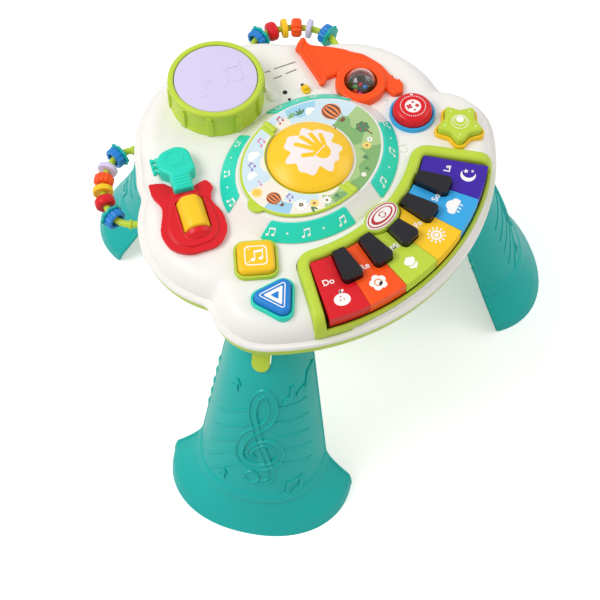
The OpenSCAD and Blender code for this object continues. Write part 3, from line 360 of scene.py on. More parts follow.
class Wire:   # one socket of a node tree, on which sums are written as plain Python
    def __init__(self, tree, socket):
        self.tree = tree
        self.socket = socket

    def sum(self, operation, *values):
        return self.tree.node('ShaderNodeMath', {"operation": operation}, dict(enumerate(values)))

    def __add__(self, other):
        return self.sum('ADD', self, other)

    def __radd__(self, other):
        return self.sum('ADD', other, self)

    def __sub__(self, other):
        return self.sum('SUBTRACT', self, other)

    def __rsub__(self, other):
        return self.sum('SUBTRACT', other, self)

    def __mul__(self, other):
        return self.sum('MULTIPLY', self, other)

    def __rmul__(self, other):
        return self.sum('MULTIPLY', other, self)

    def __truediv__(self, other):
        return self.sum('DIVIDE', self, other)

    def __gt__(self, other):
        return self.sum('GREATER_THAN', self, other)

    def __lt__(self, other):
        return self.sum('LESS_THAN', self, other)

    def most(self, other):
        return self.sum('MAXIMUM', self, other)

    def least(self, other):
        return self.sum('MINIMUM', self, other)


class Tree:   # the nodes of a material or of the world
    def __init__(self, owner):
        owner.use_nodes = True
        self.owner = owner
        self.nodes = owner.node_tree.nodes
        self.links = owner.node_tree.links
        self.nodes.clear()

    def node(self, kind, settings={}, values={}, out=0):
        made = self.nodes.new(kind)
        for key, value in settings.items():
            setattr(made, key, value)
        for key, value in values.items():
            if isinstance(value, Wire):
                self.links.new(value.socket, made.inputs[key])
            else:
                made.inputs[key].default_value = value
        return Wire(self, made.outputs[out]) if made.outputs else made


class Finish(Tree):   # a material and the parts that most of them share
    def __init__(self, name):
        super().__init__(bpy.data.materials.new(name))
        self.where = self.node('ShaderNodeTexCoord', out="Object")

    def noise(self, scale, detail=2):
        return self.node('ShaderNodeTexNoise', {}, {"Vector": self.where, "Scale": scale, "Detail": detail})

    def blend(self, a, b, factor):   # two colours
        return self.node('ShaderNodeMix', {"data_type": 'RGBA'}, {0: factor, 6: a, 7: b}, out=2)

    def bump(self, height, strength, distance):
        return self.node('ShaderNodeBump', {}, {"Height": height, "Strength": strength, "Distance": distance})

    def surface(self, values):
        skin = self.node('ShaderNodeBsdfPrincipled', {}, values)
        self.node('ShaderNodeOutputMaterial', {}, {"Surface": skin})
        return self.owner


def tone(colour, light=1):   # a written colour as the shader's linear one
    parts = [int(colour[i:i + 2], 16) / 255 for i in (1, 3, 5)]
    linear = [c / 12.92 if c <= 0.04045 else ((c + 0.055) / 1.055) ** 2.4 for c in parts]
    return [min(1, light * c) for c in linear] + [1]


# Moulded plastic: a faint flow of tone, roughness that wanders, and the fine ripple of a mould
paint = {"white": "#f3f0eb", "lime": "#bfd63f", "turquoise": "#05b0a9", "aqua": "#22d9bd",
         "orange": "#fb5312", "red": "#dc1420", "yellow": "#fbc81f", "blue": "#1b7fd2",
         "sky": "#35a8e6", "purple": "#3c1aa4", "lilac": "#d6cdee", "black": "#17151c",
         "pink": "#e8438a", "green": "#58b83a"}
plasticLook = {"flow": 16, "ripple": 260, "grain": 1400, "grainShare": 0.12, "bump": 0.06, "depth": 0.0006,
               "shades": (0.93, 1.04), "rough": 0.24, "whiteRough": 0.3, "blackRough": 0.14, "shine": 0.3}


def plastic(name):
    f, p = Finish(name + "Plastic"), plasticLook
    flow, ripple, fine = f.noise(p["flow"], 3), f.noise(p["ripple"], 2), f.noise(p["grain"], 1)
    dark, pale = [tone(paint[name], shade) for shade in p["shades"]]
    height = ripple * (1 - p["grainShare"]) + fine * p["grainShare"]
    return f.surface({"Base Color": f.blend(dark, pale, flow),
                      "Roughness": p.get(name + "Rough", p["rough"]) + flow * 0.08 + fine * 0.05,
                      "Normal": f.bump(height, p["bump"], p["depth"]), "Specular IOR Level": p["shine"]})


look = {name: plastic(name) for name in paint}
print("finishes made")

# The white top: a hollow shell with a lip, a rounded shoulder and the openings of every instrument
deckShape = {"front": ((0, 60), 245), "cornerRadius": 59, "cornerTurn": -42.4, "side": ((88, 20), 106),
             "recess": ((105, 112), 30), "back": ((0, 67), 139.5), "blend": 80, "points": 384,
             "lip": 6, "lipHeight": 5, "shoulder": 22, "wall": 2.5,
             "lipPath": [(2.5, 282.5), (2.5, 280), (0, 280), (0, 283.2), (0.3, 284), (1.1, 284.6),
                         (4.6, 284.9)],
             "floorPath": [(29.5, 308), (32, 308)]}


def reach(centre, r, a):   # how far a circle's edge lies from the disc's centre in a direction
    along = centre[0] * cos(a) + centre[1] * sin(a)
    rest = r * r - centre[0] ** 2 - centre[1] ** 2 + along * along
    return max(0, along + sqrt(rest)) if rest > 0 else 0


def deckRadius(a, inset):
    (cx, cy), r = deckShape["front"]
    turn = radians(deckShape["cornerTurn"])
    inner = deckShape["cornerRadius"]
    if a < atan2(cy + (r - inset) * sin(turn), (r - inset) * cos(turn)):
        return reach((cx, cy), r - inset, a)
    corner = (cx + (r - inner) * cos(turn), cy + (r - inner) * sin(turn))
    reaches = [reach(corner, inner - inset, a)]
    reaches += [reach(deckShape[k][0], deckShape[k][1] - inset, a) for k in ("side", "recess", "back")]
    p = deckShape["blend"]
    return 100 * sum((v / 100) ** p for v in reaches) ** (1 / p)


def deckOutline(inset):
    n = deckShape["points"]
    angles = [-pi / 2 + a for a in around(n)]
    radii = [deckRadius(a if a <= pi / 2 else pi - a, inset) for a in angles]
    weights = ((-2, 1), (-1, 2), (0, 3), (1, 2), (2, 1))
    radii = [sum(radii[(i + k) % n] * w for k, w in weights) / 9 for i in range(n)]
    return [(r * cos(a), r * sin(a)) for r, a in zip(radii, angles)]


def shoulder(inset, wall, steps):
    s = deckShape
    base = levels["seam"] + s["lipHeight"] - wall
    rise = levels["deck"] - levels["seam"] - s["lipHeight"]
    return [(inset + (s["shoulder"] - wall) * (1 - cos(t)), base + rise * sin(t))
            for t in spread(0, pi / 2, steps)]


inside = shoulder(deckShape["lip"] + deckShape["wall"], deckShape["wall"], 4)[::-1]
profile = inside + deckShape["lipPath"] + shoulder(deckShape["lip"], 0, 14) + deckShape["floorPath"]
topShell = stacked("topShell", deckOutline, profile)
print("deck skinned")

# Piano: sizes about the fan's centre, fan(r, a) gives a point at radius r and angle a from the front
piano = {"centreY": 72, "front": 245, "well": 31.4, "frameWidth": 12.5, "outer": 249.5, "frameBack": 162.5,
         "top": 316, "low": 284, "modeA": 20.6, "modeB": 12, "modeY": -99}


def fan(r, a):
    return Vector((r * sin(radians(a)), piano["centreY"] - r * cos(radians(a))))


frameAngle = degrees(piano["frameWidth"] / piano["front"])


def frameOutline(d):
    wide = piano["well"] + frameAngle
    path = [fan(piano["outer"] + d, a) for a in spread(-wide, wide, 24)]
    corners = [fan(piano["frameBack"] + 4, s * (wide + 0.8)) for s in (1, -1)]
    back = [fan(piano["frameBack"], a) for a in spread(piano["well"], -piano["well"], 16)[1:-1]]
    points = path + [corners[0]] + back + [corners[1]]
    return rounded(grown(points, d), [5] + [30] * 23 + [5, 16] + [30] * 15 + [16], 4)


# Deck buttons: centre, turn, size, corner and heights above the deck
buttons = {
    "square": {"at": (-122.5, -37.5), "turn": 47, "side": 38, "round": 8, "top": 11, "edge": 4.5},
    "triangle": {"at": (-140, -83), "turn": 12, "side": 40, "round": 8, "top": 11, "edge": 4},
    "round": {"at": (124.6, -35), "turn": 0, "side": 21, "top": 15, "edge": 7},
    "star": {"at": (143.5, -84.3), "turn": 4, "side": 27, "round": 4, "top": 13, "edge": 3, "dent": 0.62}}


def spokes(b, turns, shares):   # corners on rays from the middle, in shares of the button's size
    return [Vector((cos(radians(a)), sin(radians(a)))) * b["side"] * share for a, share in zip(turns, shares)]


def buttonOutline(kind, d):
    b = buttons[kind]
    if kind == "round":
        return [Vector(p[:2]) for p in circle(b["side"] + d, 0, 96)]
    if kind == "square":
        points = spokes(b, (-135, -45, 45, 135), [1 / sqrt(2)] * 4)
        return rounded(grown(points, d), max(1, b["round"] + d), 10)
    if kind == "triangle":
        points = spokes(b, (-125, 0, 125), (0.78, 0.7, 0.78))
        return rounded(grown(points, d), max(1, b["round"] + d), 12)
    points = spokes(b, range(0, 360, 36), [1, b["dent"]] * 5)
    return rounded(grown(points, d), [max(0.6, b["round"] + (-d / 2 if i % 2 else d)) for i in range(10)], 6)


# Where the other instruments stand
guitar = {"at": (-132, 39), "turn": -31, "roller": 14, "rollerLength": 38, "rollerY": 6}
horn = {"ball": (116, 31), "ballRadius": 17, "turn": 40}
drum = {"y": 135, "shell": 50.5, "lugs": 10, "posts": (180, 270, 360), "postPlace": 46.3}
knob = {"at": (72.5, 71.5), "turn": 22, "travel": 8}
soundSlots = [((60, 121), (66, 118)), ((70, 117), (94, 106)), ((60, 108), (70, 104)), ((74, 103), (87, 98))]


def rollerHole():
    half, long = guitar["roller"] + 0.6, guitar["rollerLength"] / 2 + 0.6
    return boxPath(-half, guitar["rollerY"] - long, half, guitar["rollerY"] + long)


def slotPath(a, b, width):
    d = heading(a, b)
    side = Vector((-d.y, d.x)) * width / 2
    ends = [Vector(a) + side, Vector(a) - side, Vector(b) - side, Vector(b) + side]
    return rounded(ends, width * 0.48, 4)


def deckCutters():
    low, top, gap = 270, 330, 0.15
    way = Vector((cos(radians(90 - knob["turn"])), sin(radians(90 - knob["turn"]))))
    start, past = Vector(knob["at"]), 2.4
    holes = [(frameOutline(gap), tableFrame), (ellipse(23.2, 14.6, 72, 0, piano["modeY"]), tableFrame),
             (circle(drum["shell"] + gap, 0, 96, 0, drum["y"]), tableFrame)]
    holes += [(buttonOutline(kind, 3.55), standing(*b["at"], b["turn"])) for kind, b in buttons.items()]
    holes += [(rollerHole(), standing(*guitar["at"], guitar["turn"])),
              (circle(horn["ballRadius"] + 1, 0, 64, *horn["ball"]), tableFrame)]
    holes += [(slotPath(a, b, 1.8), tableFrame) for a, b in soundSlots]
    holes += [(slotPath(start - way * past, start + way * (knob["travel"] + past), 4.6), tableFrame)]
    return [prism("cut", path, low, top, at) for path, at in holes]


cutBy(topShell, *deckCutters())
dressed(topShell, "top_shell", "white", 30)
print("white top cut")

# The lime pan under it, with screw wells and the battery door's seam
panShape = {"wall": 2.5, "round": 11, "steps": 8, "screws": [(85, 20), (85, -50), (88, 75)],
            "door": (46, 52), "well": 3.6, "groove": (-0.5, 0.3, 256, 258.9)}


def panSide(wall):
    high = levels["seam"] - levels["pan"]
    return [(1 + wall + panShape["round"] * (1 - sin(t)), levels["pan"] + wall + (high - wall) * (1 - cos(t)))
            for t in spread(0, pi / 2, panShape["steps"])]


profile = panSide(panShape["wall"]) + panSide(0)[::-1] + [(14, 258), (16, 258)]
pan = stacked("pan", deckOutline, profile)
wells = [discs("cut", [(panShape["well"], z) for z in (250, 262)], 32, s * x, y)
         for x, y in panShape["screws"] for s in (-1, 1)]
w, h = panShape["door"]
seamPath = rounded(boxPath(-w / 2, -h / 2, w / 2, h / 2), 3, 4)
inner, outer, low, top = panShape["groove"]
groove = boxPath(inner, low, outer, top) + [(inner, low)]
seam = stacked("cut", lambda d: grown(seamPath, d), groove, capped=False, looped=True)
cutBy(pan, seam, *wells)
dressed(pan, "bottom_shell", "lime", 30)
print("pan done")

# Legs: a shell with an open back, seen in its own frame with +X outwards; t runs round the section
legShape = {"middleY": 10, "turns": {"leg_back": 90, "leg_left": 210, "leg_right": 330}, "wall": 3,
            "across": 72, "crest": (190, 0.5, 0.0006), "flare": (21.54, 100), "half": (38, 0.158),
            "footHalf": (25.7, 50, 36), "edge": (148, 70), "power": 2.2,
            "bandMiddle": 46, "bandHalf": 6, "bandProud": 1.9,
            "notchR": 10.2, "notchZ": 232, "notchTop": 262, "notchX": (184, 226),
            "heights": [0, 1.2, 2.5, 5, 9, 14, 19, 24, 29, 34, 38, *range(40, 53), 54, 58, 64, 72, 82, 95,
                        110, 130, 150, 175, 200, 225, 245, 258]}


def legCrest(z):   # how far out the front of the leg is
    (top, slope, bow), (flare, flareZ) = legShape["crest"], legShape["flare"]
    drop = levels["pan"] - z
    return top + slope * drop - bow * drop ** 2 + flare * max(0, 1 - z / flareZ) ** 2


def legHalf(z):
    (top, slope), (foot, footZ, span) = legShape["half"], legShape["footHalf"]
    return top + slope * (levels["pan"] - z) + foot * min(1, max(0, (footZ - z) / span)) ** 1.5


def legEdge(z):
    top, more = legShape["edge"]
    return top + more * (levels["pan"] - z) / levels["pan"]


def bulge(v):
    return (1 if v > 0 else -1) * abs(v) ** (2 / legShape["power"])


def onLeg(t, z, d=0):   # a point of the leg's skin, d proud of it
    s = legEdge(z)
    return Vector((s + (legCrest(z) + d - s) * bulge(cos(t)), (legHalf(z) + d) * bulge(sin(t)), z))


def onFace(y, z, d=0):   # a point of the leg's front by its sideways place and height
    v = min(0.995, max(-0.995, y / legHalf(z)))
    t = asin((1 if v > 0 else -1) * abs(v) ** (legShape["power"] / 2))
    s = legEdge(z)
    return Vector((s + (legCrest(z) + d - s) * bulge(cos(t)), y + d * 0.7 * v, z))


def bandRise(z):
    off = (z - legShape["bandMiddle"]) / legShape["bandHalf"]
    return legShape["bandProud"] * sqrt(1 - off * off) if abs(off) < 1 else 0


def legSection(z):
    turns = spread(-pi / 2, pi / 2, legShape["across"])
    outside = [onLeg(t, z, bandRise(z)) for t in turns]
    inside = [onLeg(t, z, -legShape["wall"]) for t in turns]
    return outside + inside[::-1]


def legFrame(node):
    return tableFrame @ Matrix.Translation((0, legShape["middleY"], 0)) @ Matrix.Rotation(
        radians(legShape["turns"][node]), 4, 'Z')


def curveThrough(points, steps=5):   # a smooth path through the points
    path = []
    for i in range(len(points) - 1):
        p = [Vector(points[min(max(i + k, 0), len(points) - 1)]) for k in (-1, 0, 1, 2)]
        for t in [k / steps for k in range(steps)]:
            path.append(0.5 * (2 * p[1] + (p[2] - p[0]) * t + (2 * p[0] - 5 * p[1] + 4 * p[2] - p[3]) * t * t
                               + (3 * p[1] - p[0] - 3 * p[2] + p[3]) * t ** 3))
    return path + [Vector(points[-1])]


# What is moulded on a leg's front: a clef, five sagging lines, small notes, and teeth down one edge
relief = {"clef": [(10, 70), (18, 72), (21, 82), (17, 97), (11, 115), (4, 136), (0, 152), (-4, 169),
                   (-2, 187), (6, 196), (14, 189), (17, 174), (13, 158), (3, 148), (-9, 135), (-15, 117),
                   (-14, 102), (-5, 94), (9, 92), (23, 98), (28, 111), (22, 125), (12, 129), (1, 123),
                   (-4, 112), (2, 103)],
          "clefHalf": (2.6, 4.6), "rim": 1.1, "root": -0.8,
          "bulb": (0, 76, 8.5, 11), "bulbRings": ((0.6, -0.8), (0, 2.2), (-0.6, 2.6), (-1.3, 2), (-2, 0.9)),
          "lines": (176, 156, 136, 117, 98), "lineR": 1.3, "gap": (-7, 21), "sag": (17, 0.0095),
          "notes": [(-25, 196, 15, False), (36, 190, 17, True), (-33, 66, 12, False), (42, 58, 17, True)],
          "noteProud": 1.5, "teeth": (166, 149, 132, 115, 98), "toothR": [3.4, 3.1, 2.7, 2.2]}


def clefRibbon(at):
    path = curveThrough(relief["clef"])
    (thin, wide), rim, root = relief["clefHalf"], relief["rim"], relief["root"]
    rings = []
    for i, p in enumerate(path):
        along = heading(path[max(0, i - 1)], path[min(len(path) - 1, i + 1)])
        side = Vector((-along.y, along.x))
        share = i / (len(path) - 1)
        half = thin + (wide - thin) * sin(pi * share) ** 0.7
        up = 0.5 * share
        edge = [(half + 0.6, root), (half, 2 + up), (half - rim * 0.5, 2.4 + up), (half - rim, 2 + up),
                (half - rim * 1.4, 0.6 + up)]
        section = [(-w, d) for w, d in edge] + edge[::-1]
        rings.append([onFace(p[0] + side.x * w, p[1] + side.y * w, d) for w, d in section])
    y, z, a, b = relief["bulb"]
    bulb = [[onFace(y + (a + w) * cos(t), z + (b + w) * sin(t) * 0.72, d) for t in around(32)]
            for w, d in relief["bulbRings"]]
    return [loft("clef", rings, at), loft("bulb", bulb, at)]


def faceNote(y, z, size, double, at):
    heights = [(relief["root"], relief["noteProud"] + 0.15 * i) for i in range(5)]
    return [loft("note", [[onFace(y + p[0], z + p[1], d) for p in loop] for d in span], at)
            for loop, span in zip(noteLoops(size, double, bold=1.9), heights)]


def legRelief(at):
    pieces = clefRibbon(at)
    (left, right), (lowest, sag) = relief["gap"], relief["sag"]
    for high in relief["lines"]:
        wide = legHalf(high) - 3
        line = [(y, high - sag * (y - lowest) ** 2) for y in spread(-0.94 * wide, 0.99 * wide, 48)]
        for run in ([p for p in line if p[0] < left], [p for p in line if p[0] > right]):
            pieces.append(bar("line", [onFace(y, z, -0.2) for y, z in run], relief["lineR"], at, 10))
    for note in relief["notes"]:
        pieces += faceNote(*note, at)
    for z in relief["teeth"]:
        path = [onLeg(-pi / 2, z - k, -0.4) + Vector((-0.2 - k * 0.1, 0.4, 0)) for k in range(0, 12, 3)]
        pieces.append(bar("tooth", path, relief["toothR"], at, 12))
    return pieces


def makeLeg():
    s, at = legShape, legFrame("leg_left")
    shell = loft("leg", [legSection(z) for z in s["heights"]], at)
    lid = loft("lid", [[onLeg(t, z, -1.5) for t in spread(-pi / 2, pi / 2, 48)] for z in (254, 258)], at)
    edges = [bar("edge", [onLeg(t, z, -1.2) - Vector((0.6, 0, 0)) for z in range(3, 256, 6)], 2.3, at)
             for t in (-pi / 2, pi / 2)]
    r = s["notchR"]
    arch = [(r * cos(a), s["notchZ"] + r * sin(a)) for a in spread(-pi, 0, 24)]
    arch = [(-r, s["notchTop"])] + arch + [(r, s["notchTop"])]
    cutBy(shell, loft("cut", [[Vector((x, y, z)) for y, z in arch] for x in s["notchX"]], at))
    return joined("leg", shell, lid, *edges, *legRelief(at))


legs = [makeLeg()]
for node in ("leg_right", "leg_back"):
    pick(legs[0])
    bpy.ops.object.duplicate()
    legs.append(bpy.context.object)
    legs[-1].data.transform(legFrame(node) @ legFrame("leg_left").inverted())
for leg, side in zip(legs, ("left", "right", "back")):
    leg.name = leg.data.name = "leg" + side.capitalize()
    dressed(leg, "leg_" + side, "turquoise")
    node = "latch_" + side
    dressed(softened(copyOf(node, "latch" + side.capitalize()), 0.6), node, "lime", 35, node)
print("legs done")

# Drum: shell with a rolled rim, lugs and posts, and the pad
drumFrame = standing(0, drum["y"])
profile = rounded([(48.3, 276), (50.3, 276), (50.3, 306), (51, 307), (51, 311.5), (50.1, 313), (49.7, 325),
                   (50, 336), (51.3, 338), (51.3, 343), (45.1, 343), (45.1, 337), (48.3, 336)],
                  [0.5, 0.5, 0.5, 0.5, 1, 1, 8, 1.5, 1.2, 2.6, 1.2, 0.8, 1], 4)
drumParts = [turnedForm("drumShell", profile, drumFrame, 128)]
lugBody = outlineOf(boxPath(48.5, -4, 52.6, 4), [0.3, 1.4, 1.4, 0.3], 4)
lugCap = outlineOf(boxPath(48.5, -2.6, 52.2, 2.6), [0.3, 1, 1, 0.3], 3)
for turn in around(drum["lugs"]):
    at = drumFrame @ Matrix.Rotation(turn, 4, 'Z')
    drumParts.append(stacked("lug", lugBody, ((-0.9, 308.4), (-0.2, 308.8), (0, 309.6), (0, 331.6),
                                              (-0.3, 332.6), (-1.2, 333.4)), at))
    drumParts.append(stacked("lug", lugCap, ((0, 333), (0, 337.4), (-0.8, 338.3)), at))
for turn in drum["posts"]:
    at = drumFrame @ Matrix.Rotation(radians(turn), 4, 'Z') @ Matrix.Translation((drum["postPlace"], 0, 0))
    drumParts.append(discs("post", ((3.6, 260.6), (4, 261), (4, 279.5), (3.5, 280)), 32, at=at))
dressed(joined("drumShell", *drumParts), "drum_shell", "lime")
profile = [(48, 335), (48, 337), (44.4, 337), (44.4, 341)]
profile += [(44.4 - 1.2 * (1 - cos(t)), 341 + 1.2 * sin(t)) for t in (0.3, 0.8, 1.2, 1.57)]
profile += [(30, 342.2), (10, 342.2)]
dressed(discs("drumPad", profile, 128, 0, drum["y"]), "drum_pad", "lilac", 30, "drum_pad")
print("drum done")

# The raised plate in the middle, its light arcs, the page and the dome
plate = {"a": 104, "b": 83.8, "flank": 18, "rise": 16, "arcProud": 1.7, "gapX": 20, "gapY": 22,
         "hole": 45.2, "bend": 323, "pageA": 82, "pageB": 63.8, "pageZ": 325.9, "pageHole": 46.6,
         "pageHalf": 1.5, "spine": -3.2, "tab": 10, "tabX": -80, "hinge": 56.5, "domeBall": 90.4,
         "domeTop": 339.6}


def flankInset(z):
    return plate["flank"] * (z - levels["deck"]) / plate["rise"]


def plateRing(inset, z):
    return level(ellipse(plate["a"] - inset, plate["b"] - inset, 120), z)


rings = [circle(plate["hole"], z, 120) for z in (324, 321.5)]
rings += [plateRing(flankInset(z) - out, z) for out, z in ((-2.5, 321.5), (-2.5, 308), (0, 308))]
rings += [plateRing(flankInset(plate["bend"]) + 2.2 * t ** 1.5, plate["bend"] + sin(pi / 2 * t))
          for t in spread(0, 1, 5)]
picturePlate = loft("picturePlate", rings + [rings[0]], capped=False, looped=True)
dressed(picturePlate, "picture_plate", "white", 35)


def arcRing(share, quadrant, shrink=0):   # the light arc's section at a share of its way round
    section = rounded(boxPath(0, 0, 1, 1), 0.16, 4)
    ring = []
    for u, v in section:
        u, v = 0.5 + (u - 0.5) * (1 - shrink * 0.22), v * (1 - shrink * 0.35)
        z = 309.2 + 13.6 * u
        s = flankInset(z) - plate["arcProud"] * v - 0.1
        a, b = plate["a"] - s, plate["b"] - s
        y, x = plate["gapY"] / b, plate["gapX"] / a
        first, last = atan2(y, sqrt(1 - y * y)), atan2(sqrt(1 - x * x), x)
        t = first + (last - first) * share
        ring.append((quadrant[0] * a * cos(t), quadrant[1] * b * sin(t), z))
    return ring


quadrants = ((1, 1), (-1, 1), (-1, -1), (1, -1))
shares = [(0.001, 1.0), (0.004, 0.45), (0.011, 0.12), (0.02, 0)] + [(k / 40, 0) for k in range(1, 40)]
shares += [(0.98, 0), (0.989, 0.12), (0.996, 0.45), (0.999, 1.0)]
arcs = [loft("arc", [arcRing(s, quadrant, shrink) for s, shrink in shares]) for quadrant in quadrants]
dressed(joined("lightArcs", *arcs), "light_arcs", "aqua")

# Half a page that turns over on the hinge across the plate
tabMiddle = Vector((plate["tabX"], 0))
rim = [Vector((plate["pageA"] * cos(a), plate["pageB"] * sin(a))) for a in spread(pi / 2, pi * 1.5, 180)]
rim = [p for p in rim if p.x < plate["spine"] and (p - tabMiddle).length > plate["tab"]]
tabArc = [tabMiddle + plate["tab"] * Vector((cos(radians(a)), sin(radians(a)))) for a in spread(112, 248, 24)]
hole = [Vector((cos(radians(a)), sin(radians(a)))) * plate["pageHole"] for a in spread(266, 94, 48)]
path = [Vector((plate["spine"], plate["pageB"]))] + [p for p in rim if p.y > 0] + tabArc
path += [p for p in rim if p.y < 0] + [Vector((plate["spine"], -plate["pageB"]))] + hole
z, half = plate["pageZ"], plate["pageHalf"]
pageParts = [softened(prism("flipPage", path, z - half, z + half), 0.7, 3, 50)]
for y in (-plate["hinge"], plate["hinge"]):
    barrel = [[Vector((r * cos(a), y + d, z + r * sin(a))) for a in around(32)]
              for r, d in ((2.9, -7.5), (3.6, -6.8), (3.6, 6.8), (2.9, 7.5))]
    pageParts += [loft("knuckle", barrel),
                  prism("knuckle", rounded(boxPath(-5, y - 7, 0, y + 7), 0.4, 2), z - 1.4, z + 1.4)]
dressed(joined("flipPage", *pageParts), "flip_page", "lime", 35, "flip_page")

ball = plate["domeBall"]
profile = [(47.4, 319), (47.4, 321.2), (45, 321.2), (45, 326.2)]
profile += [(45 - 1.6 * (1 - cos(t)), 326.2 + 1.5 * sin(t)) for t in spread(0, pi / 2, 5)[1:-1]]
profile += [(r, plate["domeTop"] - ball + sqrt(ball ** 2 - r * r)) for r in spread(43, 0, 16)[:-1]]
dome = dressed(discs("dome", profile, 128), "dome_button", "yellow", 40, "dome_button")
print("plate done")

# Piano: a half-round lime frame that bends down at its front ends, with the mode button's oval
frameShape = {"bend": 15, "end": 249.2, "dropFrom": 234, "drop": 15.6, "endTop": 293, "section": [1, 1, 5, 5],
              "barHalf": 34, "barR": (245.6, 249.5), "barZ": (284, 296),
              "oval": ((0, 300), (0, 312.5), (-0.4, 314.4), (-1.2, 315.6), (-2.2, 316), (-3, 316))}
middleR = piano["frameBack"] + piano["frameWidth"] / 2
middleA = piano["well"] + frameAngle / 2
bendR = middleR + frameShape["bend"]
bendA = degrees(frameShape["bend"] / middleR) - middleA
path = [(fan(r, -middleA), r) for r in spread(frameShape["end"], bendR, 25)]
start, turn, end = fan(bendR, -middleA), fan(middleR, -middleA), fan(middleR, bendA)
for t in spread(0, 1, 10)[1:-1]:
    path.append((start * (1 - t) ** 2 + turn * 2 * t * (1 - t) + end * t ** 2, middleR))
path += [(fan(middleR, a), middleR) for a in spread(bendA, 0, 24)]
path += [(Vector((-p.x, p.y)), r) for p, r in path[:-1]][::-1]
rings = []
for i, (p, r) in enumerate(path):
    along = heading(path[max(0, i - 1)][0], path[min(len(path) - 1, i + 1)][0])
    side = Vector((along.y, -along.x))
    top, half = piano["top"], piano["frameWidth"] / 2
    if r >= frameShape["dropFrom"]:
        fall = (r - frameShape["dropFrom"]) / frameShape["drop"]
        top = frameShape["endTop"] + (piano["top"] - frameShape["endTop"]) * sqrt(max(0, 1 - fall ** 2))
    section = rounded(boxPath(-half, piano["low"], half, top), frameShape["section"], 6)
    rings.append([(p.x + side.x * u, p.y + side.y * u, z) for u, z in section])
frameBar = loft("pianoFrame", rings)


def modeOval(a, b):
    return lambda d: ellipse(a + d, b + d, 96, 0, piano["modeY"])


surround = stacked("surround", modeOval(23.1, 14.5), frameShape["oval"])
for moulding in (frameBar, surround):
    cutBy(moulding, prism("cut", modeOval(piano["modeA"], piano["modeB"])(0.3), 280, 330))
(r0, r1), wide = frameShape["barR"], frameShape["barHalf"]
strip = [fan(r1, a) for a in spread(-wide, wide, 64)] + [fan(r0, a) for a in spread(wide, -wide, 64)]
frontBar = softened(prism("frontBar", strip, *frameShape["barZ"]), 1.2)
dressed(joined("pianoFrame", frameBar, surround, frontBar), "piano_frame", "lime", 35)
keyColours = ("red", "orange", "lime", "yellow", "sky", "purple")
keys = [(f"key_{i + 1}", f"key{i + 1}", 1.1, colour) for i, colour in enumerate(keyColours)]
keys += [(f"black_key_{i + 1}", f"blackKey{i + 1}", 1.4, "black") for i in range(5)]
for node, name, edge, colour in keys:
    dressed(softened(copyOf(node, name), edge, 4, 40), node, colour, body=node)
mode = stacked("modeButton", modeOval(piano["modeA"], piano["modeB"]),
               ((0, 300), (0, 315.6), (-0.3, 316.4), (-1, 316.9), (-2, 317), (-4, 317)))
dressed(mode, "mode_button", "white", body="mode_button")
print("piano done")

# Deck buttons in their plinths
plinth = ((0.4, 298), (3.4, 298), (3.4, 311.6), (3, 312.6), (2.2, 313), (1.3, 313), (0.7, 312.7), (0.4, 312),
          (0.4, 298))
buttonLook = {"square": ("yellow", "lime", "lime"), "triangle": ("blue", "aqua", "aqua"),
              "round": ("red", "sky", "blue"), "star": ("lime", "yellow", "yellow")}
for kind, (colour, baseColour, baseSlot) in buttonLook.items():
    b = buttons[kind]
    at = standing(*b["at"], b["turn"])
    outline = lambda d: buttonOutline(kind, d)
    dressed(stacked(kind + "Base", outline, plinth, at, capped=False, looped=True),
            kind + "_base", baseColour)
    button = stacked(kind + "Button", outline, pressed(298, levels["deck"] + b["top"], b["edge"]), at)
    dressed(button, kind + "_button", colour, 45, kind + "_button")
print("buttons done")

# Guitar: a moulded body with a hump for the roller, and the neck with frets and pegs
guitarShape = {
    "body": [(-34, 57), (-20, 54), (-9, 43), (10, 42), (24, 47), (28, 36), (20, 24), (30, 2), (29, -20),
             (17, -34), (-14, -36), (-32, -26), (-37, -6), (-26, 25), (-34, 42)],
    "bodyRound": [3.6, 8, 10, 8, 6, 5, 16, 34, 25, 21, 28, 25, 29, 20, 10],
    "bodyEdge": ((0, 306), (0, 310.6), (-0.4, 311.9), (-1.3, 312.9), (-2.4, 313.2), (-3.2, 313.2)),
    "step": [(-12, 41), (7, 40), (18, 24), (22, 4), (21, -16), (12, -28), (-12, -30), (-26, -20), (-29, -4),
             (-20, 24)],
    "stepRound": [4, 6, 12, 24, 18, 16, 16, 18, 22, 22],
    "stepEdge": ((1.4, 311), (0.6, 313.8), (-0.4, 315.4), (-2, 315.9)),
    "neck": [(-12, 36), (9, 36), (9, 53), (17, 58), (15, 86), (2, 91), (-15, 87), (-22, 76), (-20, 64),
             (-12, 56)],
    "neckRound": [2, 2, 4, 7, 12, 15, 13, 8, 7, 4],
    "neckEdge": ((0, 306), (0, 320.6), (-0.4, 322), (-1.3, 323.3), (-2.6, 324), (-3.2, 324.1)),
    "hump": 18.5, "humpZ": 307, "humpSpan": (-23, 34), "fret": 36.6, "fretStep": 4, "line": 0.9,
    "pegs": (68, 75, 82), "peg": ((-14, 3.2), (-21, 3.2), (-22, 2.2), (-23.2, 2.2), (-24, 3.4), (-26.4, 3.4),
                                  (-27, 2.7)),
    "roller": ((2.5, -24), (2.5, -19), (11.5, -19), (13.2, -18.2), (13.9, -16.5), (14, -8), (14, 8),
               (13.9, 16.5), (13.2, 18.2), (11.5, 19), (2.5, 19), (2.5, 24)), "flats": 6, "flatDepth": 0.05}
g = guitarShape
guitarFrame = standing(*guitar["at"], guitar["turn"])
base = stacked("guitarBody", outlineOf(g["body"], g["bodyRound"], 10, 1), g["bodyEdge"], guitarFrame)
step = stacked("step", outlineOf(g["step"], g["stepRound"], 8), g["stepEdge"], guitarFrame)
humpRings = []
